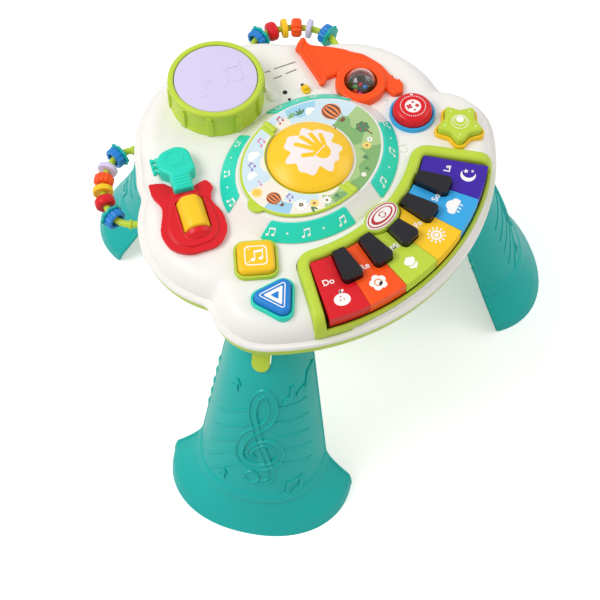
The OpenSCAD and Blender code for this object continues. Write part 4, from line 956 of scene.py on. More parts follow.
for share, y in zip(spread(0, 1, 12), spread(*g["humpSpan"], 12)):
    r = g["hump"] * (min(1, 0.72 + 0.28 * sin(pi * share) ** 0.5) if 0 < share < 1 else 0.6)
    humpRings.append([(r * cos(a), y, g["humpZ"] + r * sin(a)) for a in spread(0, pi, 24)])
guitarBody = melted("guitarBody", base, step, loft("hump", humpRings, guitarFrame))
cutBy(guitarBody, prism("cut", rollerHole(), 300, 340, guitarFrame))
dressed(guitarBody, "guitar_body", "red", 50)
neckParts = [stacked("guitarNeck", outlineOf(g["neck"], g["neckRound"], 8, 0.6), g["neckEdge"], guitarFrame)]
for k in range(1, 5):
    ends = [(x, g["fret"] + g["fretStep"] * k, 324) for x in (-8.5, 5.5)]
    neckParts.append(bar("fret", ends, g["line"], guitarFrame))
neckParts += [loft("peg", [[(x, y + r * cos(a), 316 + r * sin(a)) for a in around(24)] for x, r in g["peg"]],
                   guitarFrame) for y in g["pegs"]]
neckParts.append(bar("mark", [(-2 + 9.5 * cos(a), 75 + 8.5 * sin(a), 323.9) for a in spread(0, 2 * pi, 40)],
                     g["line"], guitarFrame, ends=False))
neckParts.append(bar("mark", [(-2 + 14 * cos(radians(a)), 74 + 10 * sin(radians(a)), 323.7)
                              for a in range(205, 336, 13)], g["line"], guitarFrame))
dressed(joined("guitarNeck", *neckParts), "guitar_neck", "aqua", 45)
rollerFrame = guitarFrame @ Matrix.Translation((0, guitar["rollerY"], 314)) @ Matrix.Rotation(pi / 2, 4, 'X')
rollerRings = []
for r, z in g["roller"]:
    dip = g["flatDepth"] if r > 10 else 0
    flat = [(a, r * (1 - dip * (0.5 - 0.5 * cos(g["flats"] * a)))) for a in around(96)]
    rollerRings.append([(d * cos(a), d * sin(a), z) for a, d in flat])
dressed(loft("guitarRoller", rollerRings, rollerFrame), "guitar_roller", "yellow", body="guitar_roller")
print("guitar done")

# Horn: a flared bell, its ring and mouthpiece, and rolled rims
hornShape = {
    "path": [(86, 60), (97, 64), (104, 60), (120, 56), (134, 34), (130, 8), (128, -4), (137, -12), (149, -2),
             (147, 12), (152, 32), (150, 56), (134, 86), (120, 106), (119, 119), (105, 113), (89, 68)],
    "round": [2, 4, 6, 10, 14, 8, 5, 5, 5, 10, 22, 22, 30, 8, 4, 3, 2],
    "edge": ((0, 306), (0, 311), (-0.7, 312.8), (-2, 313.8), (-3.4, 314), (-5, 314)),
    "ring": ((27.5, 306), (27.5, 315.4), (26.9, 317), (25.6, 318), (23, 318.2), (18.2, 318)),
    "rims": [([(88.5, 64, 313.4), (93, 77, 313.6), (101, 99, 313.6), (106.5, 113.5, 313.4)], 2.3),
             ([(95.5, 65, 313.4), (102, 78, 313.8), (111, 98, 313.8), (119, 115, 313.2)], 1.6),
             ([(105.5, 112.5, 312.6), (112, 115.6, 312.9), (118.6, 117.6, 312.4)], 3.6),
             ([(88, 62, 312.6), (95, 64.4, 312.6)], 3.4),
             ([(130.6, 2, 311.8), (138, 8.4, 312.6), (145.6, 12.4, 311.8)], 2.6),
             ([(131.2, -5.4, 311.6), (139, 0.4, 312.4), (147.4, 3.4, 311.6)], 2.2)]}
hornSkin = stacked("hornBody", outlineOf(hornShape["path"], hornShape["round"], 5, 0.8), hornShape["edge"])
hornBody = melted("hornBody", hornSkin, discs("ring", hornShape["ring"], 96, *horn["ball"]), passes=6)
cutBy(hornBody, discs("cut", [(18, 300), (18, 330)], 96, *horn["ball"]))
rims = [bar("rim", path, r) for path, r in hornShape["rims"]]
dressed(joined("hornBody", hornBody, *rims), "horn_body", "orange", 50)
print("horn done")

# The clear ball that spins in the horn's ring, with its coloured beads
ballShape = {"wall": 1.5, "z": 313, "pin": ((16.2, 2), (20, 2), (20.5, 1.6)), "bead": 3, "low": -12.2,
             "ring": (6.6, -10.3), "colours": ("black", "red", "green", "orange", "pink", "black", "blue")}
ballFrame = standing(*horn["ball"], horn["turn"], ballShape["z"])


def sphere(radius, segments, spot=(0, 0, 0)):
    clearSelection()
    bpy.ops.mesh.primitive_uv_sphere_add(segments=segments, ring_count=segments // 2, radius=radius,
                                         location=spot)
    bpy.ops.object.transform_apply(location=True)
    return bpy.context.object


ball = modified(sphere(horn["ballRadius"], 96), 'SOLIDIFY', thickness=ballShape["wall"], offset=-1)
pins = [loft("pin", [[(s * x, r * cos(a), r * sin(a)) for a in around(24)] for x, r in ballShape["pin"]],
             Matrix.Identity(4)) for s in (-1, 1)]
ball = joined("clearBall", ball, *pins)
ball.data.transform(ballFrame)
f = Finish("clearPlastic")
scuffs = f.noise(220, 3)
clear = f.surface({"Base Color": (0.96, 0.98, 1, 1), "Roughness": 0.02 + scuffs * 0.05, "IOR": 1.46,
                   "Transmission Weight": 1.0, "Normal": f.bump(scuffs, 0.03, 0.0005)})
fitted(smoothed(ball, 40), "horn_ball", clear, ("horn_ball",))
r, z = ballShape["ring"]
spots = [(0, 0, ballShape["low"])] + [(r * cos(a), r * sin(a), z) for a in around(6)]
rattles = []
for spot, colour in zip(spots, ballShape["colours"]):
    rattle = sphere(ballShape["bead"], 32, spot)
    rattle.data.transform(ballFrame)
    rattles.append(painted(smoothed(rattle, 60), look[colour]))
fitted(joined("ballBeads", *rattles), "horn_ball", stands=("horn_ball_beads",))
print("ball done")

# Bead bars: each bar bends out of the pan, runs along a bow and bends back in
bars = {"ends": ((92, 172), (161, 105)), "z": 272, "r": 3.7, "bend": 60, "bendR": 28, "root": 9,
        "collar": 2.5, "spots": (22, 41, 56, 70, 85, 107)}
p0, p1 = Vector(bars["ends"][0]), Vector(bars["ends"][1])
barHalf, barMiddle = (p1 - p0).length / 2, (p0 + p1) / 2
barTurn = degrees(atan2(p1.y - p0.y, p1.x - p0.x))
arcR = bars["bendR"] + (barHalf - bars["bendR"]) / cos(radians(bars["bend"]))
bendLength = bars["bendR"] * radians(bars["bend"])
arcLength = arcR * radians(180 - 2 * bars["bend"])
barEnd = 2 * bendLength + arcLength


def barHeading(s):   # the bar's direction at a length along it
    if s < bendLength:
        return 90 - degrees(s / bars["bendR"])
    if s < bendLength + arcLength:
        return 90 - bars["bend"] - degrees((s - bendLength) / arcR)
    return bars["bend"] - 90 - degrees((s - bendLength - arcLength) / bars["bendR"])


def barPlace(s):
    t = min(barEnd, max(0, s))
    a = radians(barHeading(t))
    out = Vector((cos(a + pi / 2), sin(a + pi / 2)))
    ahead = Vector((cos(a), sin(a))) * (s - t)
    if t < bendLength:
        return Vector((bars["bendR"] - barHalf, 0)) + bars["bendR"] * out + ahead
    if t < bendLength + arcLength:
        return Vector((0, -(arcR - bars["bendR"]) * sin(radians(bars["bend"])))) + arcR * out + ahead
    return Vector((barHalf - bars["bendR"], 0)) + bars["bendR"] * out + ahead


def barFrame(side):
    return (tableFrame @ Matrix.Diagonal((side, 1, 1, 1)) @ Matrix.Translation((*barMiddle, bars["z"]))
            @ Matrix.Rotation(radians(barTurn), 4, 'Z'))


def threaded(side, s):   # the frame of what is threaded on the bar at a length along it
    return (barFrame(side) @ Matrix.Translation((*barPlace(s), 0))
            @ Matrix.Rotation(radians(barHeading(s)), 4, 'Z') @ Matrix.Rotation(radians(90), 4, 'Y'))


collar = rounded(boxPath(3.5, -1.6, 5.2, 1.6), [0.1, 0.9, 0.9, 0.1], 3)
rods = []
for side in (-1, 1):
    path = [(*barPlace(s), 0) for s in spread(-bars["root"], barEnd + bars["root"], 72)]
    rods.append(bar("rod", path, bars["r"], barFrame(side), 24, ends=False))
    for s in (bars["collar"], barEnd - bars["collar"]):
        rods.append(turnedForm("collar", [(x, -y) for x, y in collar][::-1], threaded(side, s), 32))
dressed(joined("beadBars", *rods), "bead_bars", "lime")

# Beads: each kind is one or two turned rings, with waves and a colour; the bore clears the bar
bore = 3.9
beadRings = {
    "disc": (boxPath(bore, -3, 11, 3), [0.3, 1.6, 1.6, 0.3], 5),
    "barrel": ([(bore, -6), (8.6, -6), (11, -3.4), (11, 3.4), (8.6, 6), (bore, 6)],
               [0.3, 2, 3, 3, 2, 0.3], 5),
    "ring": ([(bore, -2.2), (8, -2.2), (8.6, -3.25), (11, -3.25), (11, 3.25), (8.6, 3.25), (8, 2.2),
              (bore, 2.2)], [0.3, 0.5, 0.6, 1.1, 1.1, 0.6, 0.5, 0.3], 4),
    "cup": ([(bore, -3), (11.5, -3), (11.5, 6), (7.6, 6), (7.6, 0), (bore, 0)],
            [0.3, 1.4, 1.3, 1, 0.6, 0.3], 4),
    "wavy": (boxPath(bore, -6.1, 14, -3), [0.3, 1.3, 1.3, 0.3], 5)}
beadKinds = {"pair": [("cup", 12, 1.0, "blue"), ("wavy", 8, 1.6, "turquoise")],
             "disc": [("disc", 0, 0, "lilac")], "flute": [("barrel", 12, 1.0, "orange")],
             "ring": [("ring", 0, 0, "yellow")],
             "barrel": [("barrel", 0, 0, "red")]}
for side, hand, order in ((-1, "left", ("pair", "disc", "flute", "ring", "barrel", "pair")),
                          (1, "right", ("pair", "barrel", "ring", "flute", "disc", "pair"))):
    for i, kind in enumerate(order):
        node = f"bead_{hand}_{i + 1}"
        at = threaded(side, bars["spots"][i])
        if kind == "pair" and side == 1:
            at = at @ Matrix.Diagonal((1, 1, -1, 1))
        parts = [painted(turnedForm("bead", rounded(*beadRings[ring]), at, 144, waves, depth), look[colour])
                 for ring, waves, depth, colour in beadKinds[kind]]
        bead = joined(f"bead{hand.capitalize()}{i + 1}", *parts)
        fitted(smoothed(bead, 45), node, stands=(node,))
print("beads done")

# The volume switch, and two dark lenses beside it
knobShape = {"foot": boxPath(-4.5, -5.75, 4.5, 5.75), "footRound": [4.2] * 4, "footEdge": (308.1, 310.6, 0.9),
             "grip": ((3.3, 310), (3.1, 311.6), (3.1, 313.4), (2.8, 314.2), (2.1, 314.6), (1, 314.7)),
             "rib": (3.4, 3.58, 310.5, 0.35), "neck": (2, 303.4, 309),
             "lenses": ((55, 86, 2.7), (51.2, 76, 1.7)),
             "lens": ((1, -0.5), (1, 0.15), (0.9, 0.55), (0.65, 0.85), (0.3, 1))}
at = standing(*knob["at"], -knob["turn"])
foot = stacked("foot", outlineOf(knobShape["foot"], knobShape["footRound"], 8, 0.6),
               pressed(*knobShape["footEdge"]), at)
x, y, z, r = knobShape["rib"]
ribs = [bar("rib", [(s * x, -y, z), (s * x, y, z)], r, at) for s in (-1, 1)]
half, low, top = knobShape["neck"]
switchKnob = joined("switchKnob", foot, discs("grip", knobShape["grip"], 48, at=at),
                    prism("neck", boxPath(-half, -half, half, half), low, top, at), *ribs)
dressed(switchKnob, "switch_knob", "yellow", body="switch_knob")
lenses = [discs("lens", [(r * share, levels["deck"] + h) for share, h in knobShape["lens"]], 32, x, y)
          for x, y, r in knobShape["lenses"]]
fitted(smoothed(joined("lenses", *lenses), 50), "table", look["black"])

# What the frame keeps inside gets its real finishes: grain scale and detail, two tones, roughness and
# how far it wanders, metal, and bump strength
insideLook = {"circuit_board": ("boardFibre", (420, 2), "#1d7a3c", "#2b9a50", 0.35, 0.2, 0.0, 0.1),
              "screws": ("screwSteel", (700, 2), "#8d8f95", "#b9bbc0", 0.28, 0.2, 1.0, 0.0),
              "batteries": ("cellWrap", (300, 3), "#2f3338", "#4b5057", 0.3, 0.15, 0.4, 0.0),
              "speaker": ("speakerCone", (900, 4), "#26262b", "#3d3d44", 0.7, 0.2, 0.0, 0.3)}
insideFinish = {"battery_door": look["lime"]}
for node, (name, grainScale, dark, pale, rough, wander, metal, bump) in insideLook.items():
    f = Finish(name)
    grain = f.noise(*grainScale)
    pattern = grain
    if node == "circuit_board":   # tracks instead of grain
        pattern = f.node('ShaderNodeTexVoronoi', {"feature": 'DISTANCE_TO_EDGE'},
                         {"Vector": f.where, "Scale": 150}) < 0.05
    values = {"Base Color": f.blend(tone(dark), tone(pale), pattern), "Metallic": metal,
              "Roughness": rough + grain * wander}
    if bump:
        values["Normal"] = f.bump(grain, bump, 0.0003)
    insideFinish[node] = f.surface(values)
for node, finish in insideFinish.items():
    mesh = frame["nodes"][node].data
    if not mesh.materials:
        mesh.materials.append(finish)
    for i in range(len(mesh.materials)):
        mesh.materials[i] = finish
print("inside finished")

# Prints: thin films of ink, each a flat outline with its holes, laid over one another
inks = {"white": "#faf8f4", "cream": "#f3ecdd", "paleSky": "#cfe4ef", "sky": "#9fd0ea", "meadow": "#a9c785",
        "grass": "#7fae6a", "darkGreen": "#4d7f58", "brown": "#7a4b35", "orange": "#f08a4b",
        "yellow": "#f6c955", "gold": "#f7d774", "pink": "#e07fa8", "red": "#cf3f45", "purple": "#8f6fc0",
        "dark": "#2e2a33", "crimson": "#b3242e"}
inkLayer = 0.05   # thickness of one film, in mm


def inkFinish(name):
    f = Finish(name + "Ink")
    grain, flow = f.noise(900, 2), f.noise(40, 2)
    return f.surface({"Base Color": f.blend(tone(inks[name], 0.95), tone(inks[name], 1.03), flow),
                      "Roughness": 0.34 + grain * 0.14, "Normal": f.bump(grain, 0.05, 0.0002)})


ink = {name: inkFinish(name) for name in inks}


def pressedInk(piece, finish, at, layer=0, thick=inkLayer):   # a flat curve or word made mesh and laid down
    pick(piece)
    bpy.ops.object.convert(target='MESH')
    piece = bpy.context.object
    piece.data.transform(at @ Matrix.Translation((0, 0, layer * inkLayer + thick / 2)))
    bpy.ops.object.mode_set(mode='EDIT')
    bpy.ops.mesh.select_all(action='SELECT')
    bpy.ops.mesh.remove_doubles(threshold=0.000002)
    bpy.ops.object.mode_set(mode='OBJECT')
    return painted(piece, finish)


def inked(loops, finish, at, layer=0, thick=inkLayer):
    clearSelection()
    bpy.ops.curve.primitive_nurbs_path_add()
    piece = bpy.context.object
    outline = piece.data
    outline.dimensions, outline.fill_mode, outline.extrude = '2D', 'BOTH', thick / 2
    outline.splines.clear()
    for loop in loops:
        spline = outline.splines.new('POLY')
        spline.points.add(len(loop) - 1)
        for point, p in zip(spline.points, loop):
            point.co = (p[0], p[1], 0, 1)
        spline.use_cyclic_u = True
    return pressedInk(piece, finish, at, layer, thick)


def word(text, size, finish, at, weight=0.02):
    clearSelection()
    bpy.ops.object.text_add()
    piece = bpy.context.object
    piece.data.body, piece.data.size, piece.data.offset = text, size, weight * size
    piece.data.align_x, piece.data.align_y = 'CENTER', 'CENTER'
    piece.data.extrude = inkLayer / 2
    return pressedInk(piece, finish, at)


# Marks say what is printed: outlines with their colour and height in films
def patch(colour, *loops, layer=0):   # one film, an outline with its holes
    return [(loops, colour, layer)]


def patches(colour, loops, layer=0):   # outlines that may overlap, each on a film a little higher
    return [([loop], colour, layer + 0.25 * i) for i, loop in enumerate(loops)]


def printed(name, marks, at, body, *pieces):
    films = [inked(loops, ink[colour], at, layer) for loops, colour, layer in marks]
    return fitted(joined(name, *pieces, *films), body)


def cloudLoops(size, x, y):
    puffs = [roundLoop(0.3, -0.35, 0, count=24), roundLoop(0.42, 0.02, 0.12, count=24),
             roundLoop(0.28, 0.4, 0, count=24), rounded(boxPath(-0.62, -0.3, 0.66, 0.02), 0.14, 4)]
    return [shifted(puff, x, y, size) for puff in puffs]


def arcLoop(r, start, end, steps, x=0):
    return [(x + r * cos(radians(a)), r * sin(radians(a))) for a in spread(start, end, steps)]


def starLoop(r, x, y):
    points = [(pi * k / 5 + pi / 2, r * (1, 0.45)[k % 2]) for k in range(10)]
    return [(d * cos(a) + x, d * sin(a) + y) for a, d in points]


# Keys: each has its note's name and a small picture
keyPrint = {"names": ("Do", "Re", "Mi", "Fa", "So", "La"), "nameR": 204, "nameSize": 9.5,
            "nameA": (-27.3, -15.8, -4.8, 5.5, 16.3, 27.3), "pictureR": 226.5,
            "pictureA": (-25.8, -15.4, -5.1, 5.6, 15.8, 26.6), "top": 311.5}
apple = (patch("white", roundLoop(8, 0, -1, 2, 0.07, stretch=0.95), leafLoop(2.6, 1.3, -2, -2.6, 90),
               leafLoop(2.6, 1.3, 1.8, -2.6, 90), roundLoop(0.9, -0.2, 2.6, count=16))
         + patch("white", leafLoop(5, 2.6, 0.4, 5.4, 70)) + patch("white", leafLoop(6, 3, 0, 7.2, 20)))
flower = (patches("white", [shifted(roundLoop(4.1, 5.2, 0, count=28), turn=72 * k + 18) for k in range(5)])
          + patch("orange", roundLoop(4.4, count=32), roundLoop(3, count=24), layer=1)
          + patch("white", roundLoop(2.9, count=24), layer=1))
cup = [(-6, 6), (-3, 2.6), (0, 7.5), (3, 2.6), (6, 6), (6.4, 0), (4, -3.6), (0, -5), (-4, -3.6), (-6.4, 0)]
tulip = (patch("white", rounded(cup, [2] * 5 + [0.6] * 5, 3))
         + patch("white", strokeLoop([(0, -4), (0.2, -7), (0, -10)], 1.4), layer=1)
         + patch("white", leafLoop(7, 3, 0, -9, 40)) + patch("white", leafLoop(7, 3, 0, -9, 140)))
sunshine = (patch("white", roundLoop(5.9, count=48), roundLoop(3.9, count=32))
            + patch("white", roundLoop(2.6, count=32))
            + patches("white", [shifted(leafLoop(3.6, 2, 6.6), turn=30 * k) for k in range(12)]))
rain = patches("white", cloudLoops(15, 0, 2) + [leafLoop(3.6, 1.8, x, -6.6, 80) for x in (-4.4, 0, 4.4)])
moon = (patch("white", arcLoop(8, 60, 300, 24) + arcLoop(6.9, 276, 86, 19, 3.6))
        + patches("white", [starLoop(3, 4.4, 3.2), starLoop(2, 6, -3.4)]))


def onKey(r, a):
    return standing(*fan(r, a), a, keyPrint["top"])


for i, picture in enumerate((apple, flower, tulip, sunshine, rain, moon)):
    k = keyPrint
    name = word(k["names"][i], k["nameSize"], ink["white"], onKey(k["nameR"], k["nameA"][i]))
    printed(f"key{i + 1}Print", picture, onKey(k["pictureR"], k["pictureA"][i]), f"key_{i + 1}", name)
print("keys printed")


# The mode button: a ring, a crescent and two arrows that chase each other
def arrowLoops(r, width, start, end, x=0, y=0):   # an arc with an arrow head at its end
    out = Vector((cos(radians(end)), sin(radians(end))))
    ahead = Vector((-out.y, out.x))
    head = [out * r + ahead * width * 1.9, out * (r + width * 1.5), out * (r - width * 1.5)]
    return [shifted(loop, x, y) for loop in (strokeLoop(arcLoop(r, start, end, 12), width), head)]


arrows = arrowLoops(3.3, 1, 20, 150, 1.2, 0.4) + arrowLoops(3.3, 1, 200, 330, 1.2, 0.4)
marks = (patch("crimson", ellipse(19, 10.4), ellipse(17.3, 9))
         + patch("crimson", ellipse(14.6, 7.2), ellipse(11.6, 5.6, x=1.2, y=0.5))
         + patches("crimson", arrows))
printed("modePrint", marks, standing(0, piano["modeY"], 0, 317), "mode_button")

# Buttons: each top has its own mark; the round one also carries a painted highlight, a white oval on its far
# shoulder
dashes = [[(r * cos(radians(a)), r * sin(radians(a)))
           for r, a in ((12.9, d), (12.9, d + 5), (13.9, d + 5), (13.9, d))] for d in range(0, 360, 10)]
buttonMarksAndHighlight = {
    "square": patch("white", *[rounded(boxPath(-h, -h, h, h), r, 8) for h, r in ((11.5, 4.4), (10.35, 3.96))])
    + patches("white", noteLoops(11, True, 0.6, -0.3, -90))
    + patches("white", [roundLoop(0.7, x, y, count=16) for x, y in ((-7.4, 7), (7.2, -7.4), (7.6, 6.8))]),
    "triangle": patch("white", buttonOutline("triangle", -5.6), buttonOutline("triangle", -6.7))
    + patch("white", buttonOutline("triangle", -8.6), buttonOutline("triangle", -12.2)),
    "round": patch("white", roundLoop(8.6, count=64))
    + patch("red", roundLoop(3.1, -3.2, 2.4, 4, 0.22, 40, turn=20), roundLoop(2.3, 3.6, -2.8, 5, 0.2, 40),
            roundLoop(1.5, 3.8, 3.6, 3, 0.2, 30), roundLoop(1.3, -2.6, -4.6, 3, 0.2, 30), layer=1)
    # painted highlight: this small white oval on the round button's far shoulder stands in for a lamp's
    # reflection
    + patch("white", roundLoop(1.5, 10.6, 11.2, stretch=0.6, turn=-45, count=28)) + patches("white", dashes),
    "star": patch("white", roundLoop(9.2, count=64), roundLoop(8.6, count=64))
    + patch("white", roundLoop(6.7, 1.3, 0.8, count=64), roundLoop(6.1, 1.3, 0.8, count=64))
    + patch("white", roundLoop(4, 2.6, 1.8))
    + patches("white", [roundLoop(0.95, 17 * cos(a), 17 * sin(a), count=4) for a in around(5)])}
for kind, marks in buttonMarksAndHighlight.items():
    b = buttons[kind]
    at = standing(*b["at"], b["turn"], levels["deck"] + b["top"])
    printed(kind + "Print", marks, at, kind + "_button")
print("buttons printed")

# The picture disc: two halves of a meadow under the page, and one more on each side of the page. A side
# has its outer half axes and the spine that it stops at; all its films together rise by a few layers
disc = {"inner": 47.8, "right": ((85.2, 65), 3.6), "left": ((79.6, 61.4), -3.6),
        "page": ((79.6, 61.4), -8.5), "rise": 2.4}


def discPoint(side, a, share):   # by its direction and its share of the way out
    outerA, outerB = disc[side][0]
    t = radians(a)
    far = outerA * outerB / sqrt((outerB * cos(t)) ** 2 + (outerA * sin(t)) ** 2)
    r = disc["inner"] + (far - disc["inner"]) * share
    return (r * cos(t), r * sin(t))


def field(side, colour, first, last, low, high):   # a strip between two heights, cut off at the spine
    def edge(height, turns):
        return [discPoint(side, a, height(a) if callable(height) else height) for a in turns]

    spine = disc[side][1]
    turns = spread(first, last, 60)
    loop = edge(high, turns) + edge(low, turns[::-1])
    beyond = [p[0] > spine if spine > 0 else p[0] < spine for p in loop]
    kept = []
    for i, p in enumerate(loop):
        q = loop[i - 1]
        if beyond[i] != beyond[i - 1]:
            kept.append((spine, q[1] + (p[1] - q[1]) * (spine - q[0]) / (p[0] - q[0])))
        if beyond[i]:
            kept.append(p)
    return patch(colour, kept)


def wave(middle, swing, period, shift=0):
    return lambda a: middle + swing * sin(radians(a * 360 / period + shift))


def sun(x, y, r):
    return patch("gold", roundLoop(r * 1.35, x, y, 12, 0.12, 96)) + patch("yellow", roundLoop(r * 0.9, x, y))


def daisy(x, y, r, petals="white", middle="dark"):
    return (patch(petals, roundLoop(r, x, y, 9, 0.22, 108))
            + patch(middle, roundLoop(r * 0.36, x, y, count=28))
            + patch("gold", roundLoop(r * 0.16, x, y, count=20)))


def balloon(x, y, r):
    def meridian(w, turns):
        return [(x + r * w * cos(radians(a)), y + r * 0.97 * sin(radians(a))) for a in turns]

    turns = range(-84, 85, 12)
    stripes = [meridian(s * w, turns) + meridian(s * (w - 0.2), turns[::-1])
               for s in (-1, 1) for w in (0.35, 0.86)]
    basket = [(x - r * 0.26, y - r * 1.75), (x + r * 0.26, y - r * 1.75), (x + r * 0.3, y - r * 1.35),
              (x - r * 0.3, y - r * 1.35)]
    ropes = [strokeLoop([(x + s * r * 0.62, y - r * 0.74), (x + s * r * 0.24, y - r * 1.4)], r * 0.06)
             for s in (-1, 1)]
    return (patch("orange", roundLoop(r, x, y, count=64)) + patches("dark", stripes)
            + patches("brown", [rounded(basket, r * 0.08, 3)] + ropes))


def tree(x, y, r):
    apples = [roundLoop(r * 0.14, x + r * 0.6 * cos(a), y + r * 0.55 * sin(a), count=18)
              for a in (0.4, 1.9, 3.3, 4.9)]
    return (patch("brown", strokeLoop([(x, y - r * 1.9), (x, y - r * 0.5)], r * 0.22))
            + patch("darkGreen", roundLoop(r, x, y, 7, 0.08, 84)) + patches("red", apples))


def leaves(x, y, length, turns, colour="darkGreen"):
    return patches(colour, [leafLoop(length, length * 0.3, x, y, t) for t in turns])


def grass(x, y, height):
    return patches("darkGreen", [leafLoop(height, height * 0.16, x + k * 0.6, y, 90 + k * 17)
                                 for k in (-2, -1, 0, 1, 2)])


def note(x, y, size, colour, double=True):
    return patches(colour, noteLoops(size, double, x, y))


def cloud(x, y, size):
    return patches("white", cloudLoops(size, x, y))


rightHalf = (
    field("right", "paleSky", -90, 90, 0, 1) + field("right", "sky", 38, 66, wave(0.35, 0.1, 30), 0.98)
    + field("right", "cream", 66, 88, 0.02, 0.5) + field("right", "meadow", -90, 6, 0.01, 0.99)
    + field("right", "grass", -90, -34, wave(0.3, 0.12, 26), 0.98)
    + field("right", "grass", -28, 12, 0.02, wave(0.42, 0.1, 22))
    + leaves(36, 45, 8, (20, 60, 100, 140)) + leaves(27, 49, 7, (150, 110, 70, 30), "grass")
    + balloon(60, 24, 10.5) + tree(67, -14, 7) + daisy(52, -33, 4.4, "gold", "brown") + grass(40, -46, 8)
    + grass(30, -56, 6) + note(14, 56.5, 7, "red") + cloud(45, 41, 9) + daisy(60, -30, 2.8)
    + daisy(22, -55, 2.6, "white", "gold") + note(47, 9, 6, "brown", False))
leftHalf = (
    field("left", "cream", 90, 270, 0, 1) + field("left", "sky", 92, 140, wave(0.5, 0.15, 20), 0.98)
    + field("left", "meadow", 205, 268, 0.02, 0.98)
    + field("left", "grass", 225, 268, wave(0.45, 0.12, 24), 0.98) + sun(-56, 30, 6) + tree(-68, 2, 7)
    + daisy(-58, -26, 4.5) + daisy(-42, -42, 4, "gold", "brown") + note(-24, 54, 7, "purple"))
frontPage = (
    field("page", "cream", 90, 270, 0, 1) + field("page", "paleSky", 90, 168, wave(0.12, 0.1, 34), 0.99)
    + field("page", "sky", 186, 206, 0.5, 0.99)
    + field("page", "paleSky", 196, 232, 0.02, wave(0.5, 0.12, 30))
    + field("page", "meadow", 236, 270, wave(0.2, 0.12, 30), 0.99)
    + cloud(-40, 43, 11) + cloud(-59, 27, 9) + sun(-70.5, 9.5, 4.2)
    + field("page", "grass", 246, 270, wave(0.5, 0.14, 22, 90), 0.99) + balloon(-64, -8, 7.6)
    + note(-22, 50, 7.5, "pink") + note(-51, 36, 7, "purple") + note(-60, 16, 6.5, "pink", False)
    + daisy(-51, -34, 6.4) + daisy(-40.5, -42.5, 4.6, "gold", "brown") + note(-53, -19, 6.5, "purple")
    + daisy(-29, -49.5, 4.4) + grass(-18, -57, 6.5) + leaves(-46, -43, 8, (250, 290)))
backPage = (
    field("page", "paleSky", 90, 270, 0, 1) + field("page", "meadow", 90, 160, 0.02, 0.99) + sun(-60, -24, 5)
    + cloud(-46, -40, 9) + field("page", "grass", 92, 134, wave(0.4, 0.12, 24), 0.98) + tree(-66, 6, 6.5)
    + daisy(-54, 28, 5) + note(-26, -50, 7, "pink") + daisy(-38, 43, 4, "gold", "brown"))
onDisc = standing(0, 0, 0, levels["plate"])
onPage = standing(0, 0, 0, plate["pageZ"] + plate["pageHalf"])
underPage = standing(0, 0, 0, plate["pageZ"] - plate["pageHalf"]) @ Matrix.Diagonal((1, 1, -1, 1))
for name, picture, at, body in (("discPrintRight", rightHalf, onDisc, "table"),
                                ("discPrintLeft", leftHalf, onDisc, "table"),
                                ("pagePrintFront", frontPage, onPage, "flip_page"),
                                ("pagePrintBack", backPage, underPage, "flip_page")):
    step = disc["rise"] / len(picture)
    printed(name, [(loops, colour, step * i) for i, (loops, colour, _) in enumerate(picture)], at, body)
print("disc printed")

# The dome's finish: a pale splash with an open hand in it
handPrint = {"fingers": [((3, -3), (-4.5, 15.5), 2.6), ((7, -2), (6.5, 18), 2.7), ((11, -4), (16, 13.6), 2.6),
                         ((14, -8), (23, 6), 2.5), ((2, -10), (-10, 0), 2.6)],
             "palm": (7.5, -10.5, 8.8, 8.8), "crease": ((-4, -9), (15, -7), 0.5), "centre": (3, -1),
             "splash": 28, "waves": ((7, 2.6, 0.6), (11, 2.2, 2.1), (4, 1.2, 0.2))}


def domeFinish():
    f, h = Finish("domePlastic"), handPrint
    x, y = [f.node('ShaderNodeSeparateXYZ', {}, {"Vector": f.where}, out=axis) * 1000 for axis in "XY"]
    y = y + levels["middle"]

    def within(start, end, r):   # nearer than r to the line between two points
        (ax, ay), (bx, by) = start, end
        dx, dy = bx - ax, by - ay
        along = ((x - ax) * dx + (y - ay) * dy) / (dx * dx + dy * dy)
        along = along.most(0).least(1)
        offX, offY = x - ax - along * dx, y - ay - along * dy
        return (offX * offX + offY * offY) < r * r

    sx, sy = x - h["centre"][0], y - h["centre"][1]
    turn = sy.sum('ARCTAN2', sy, sx)
    edge = h["splash"]
    for count, height, shift in h["waves"]:
        angle = turn * count + shift
        edge = edge + angle.sum('SINE', angle) * height
    square = sx * sx + sy * sy
    splash = square.sum('SQRT', square) < edge
    px, py, pa, pb = h["palm"]
    u, v = (x - px) / pa, (y - py) / pb
    hand = (u * u + v * v) < 1
    for finger in h["fingers"]:
        hand = hand.most(within(*finger))
    pale = (splash * (1 - hand)).most(within(*h["crease"]))
    flow, fine = f.noise(18, 3), f.noise(1300, 1)
    yellow = f.blend(tone(paint["yellow"], 0.93), tone(paint["yellow"], 1.05), flow)
    return f.surface({"Base Color": f.blend(yellow, f.blend(tone("#f6ece4"), tone("#f2e6ea"), flow), pale),
                      "Roughness": 0.22 + flow * 0.06 + fine * 0.05 + pale * 0.08, "Specular IOR Level": 0.35,
                      "Normal": f.bump(fine, 0.04, 0.0004)})


painted(dome, domeFinish())
print("dome printed")

# Faint raised notes on the drum pad and the top, and a drum stick moulded beside the drum
deckRelief = {"drumNotes": [(-15, 140, 24, False, -35), (14, 130, 22, True, -35)],
              "deckNotes": [(119, -2, 8, False, -40), (82, -54, 10, True, -40)], "bold": 1.7,
              "stick": [(54.4, 126), (48.2, 113.6), (43.6, 102)], "stickHead": (41.7, 91.6, 7, 3.4)}


def raised(notes, colour, z, step, thick):   # loops of one note lie step films over one another
    return [inked([loop], look[colour], standing(x, y, turn, z), step * i, thick)
            for x, y, size, double, turn in notes
            for i, loop in enumerate(noteLoops(size, double, bold=deckRelief["bold"]))]


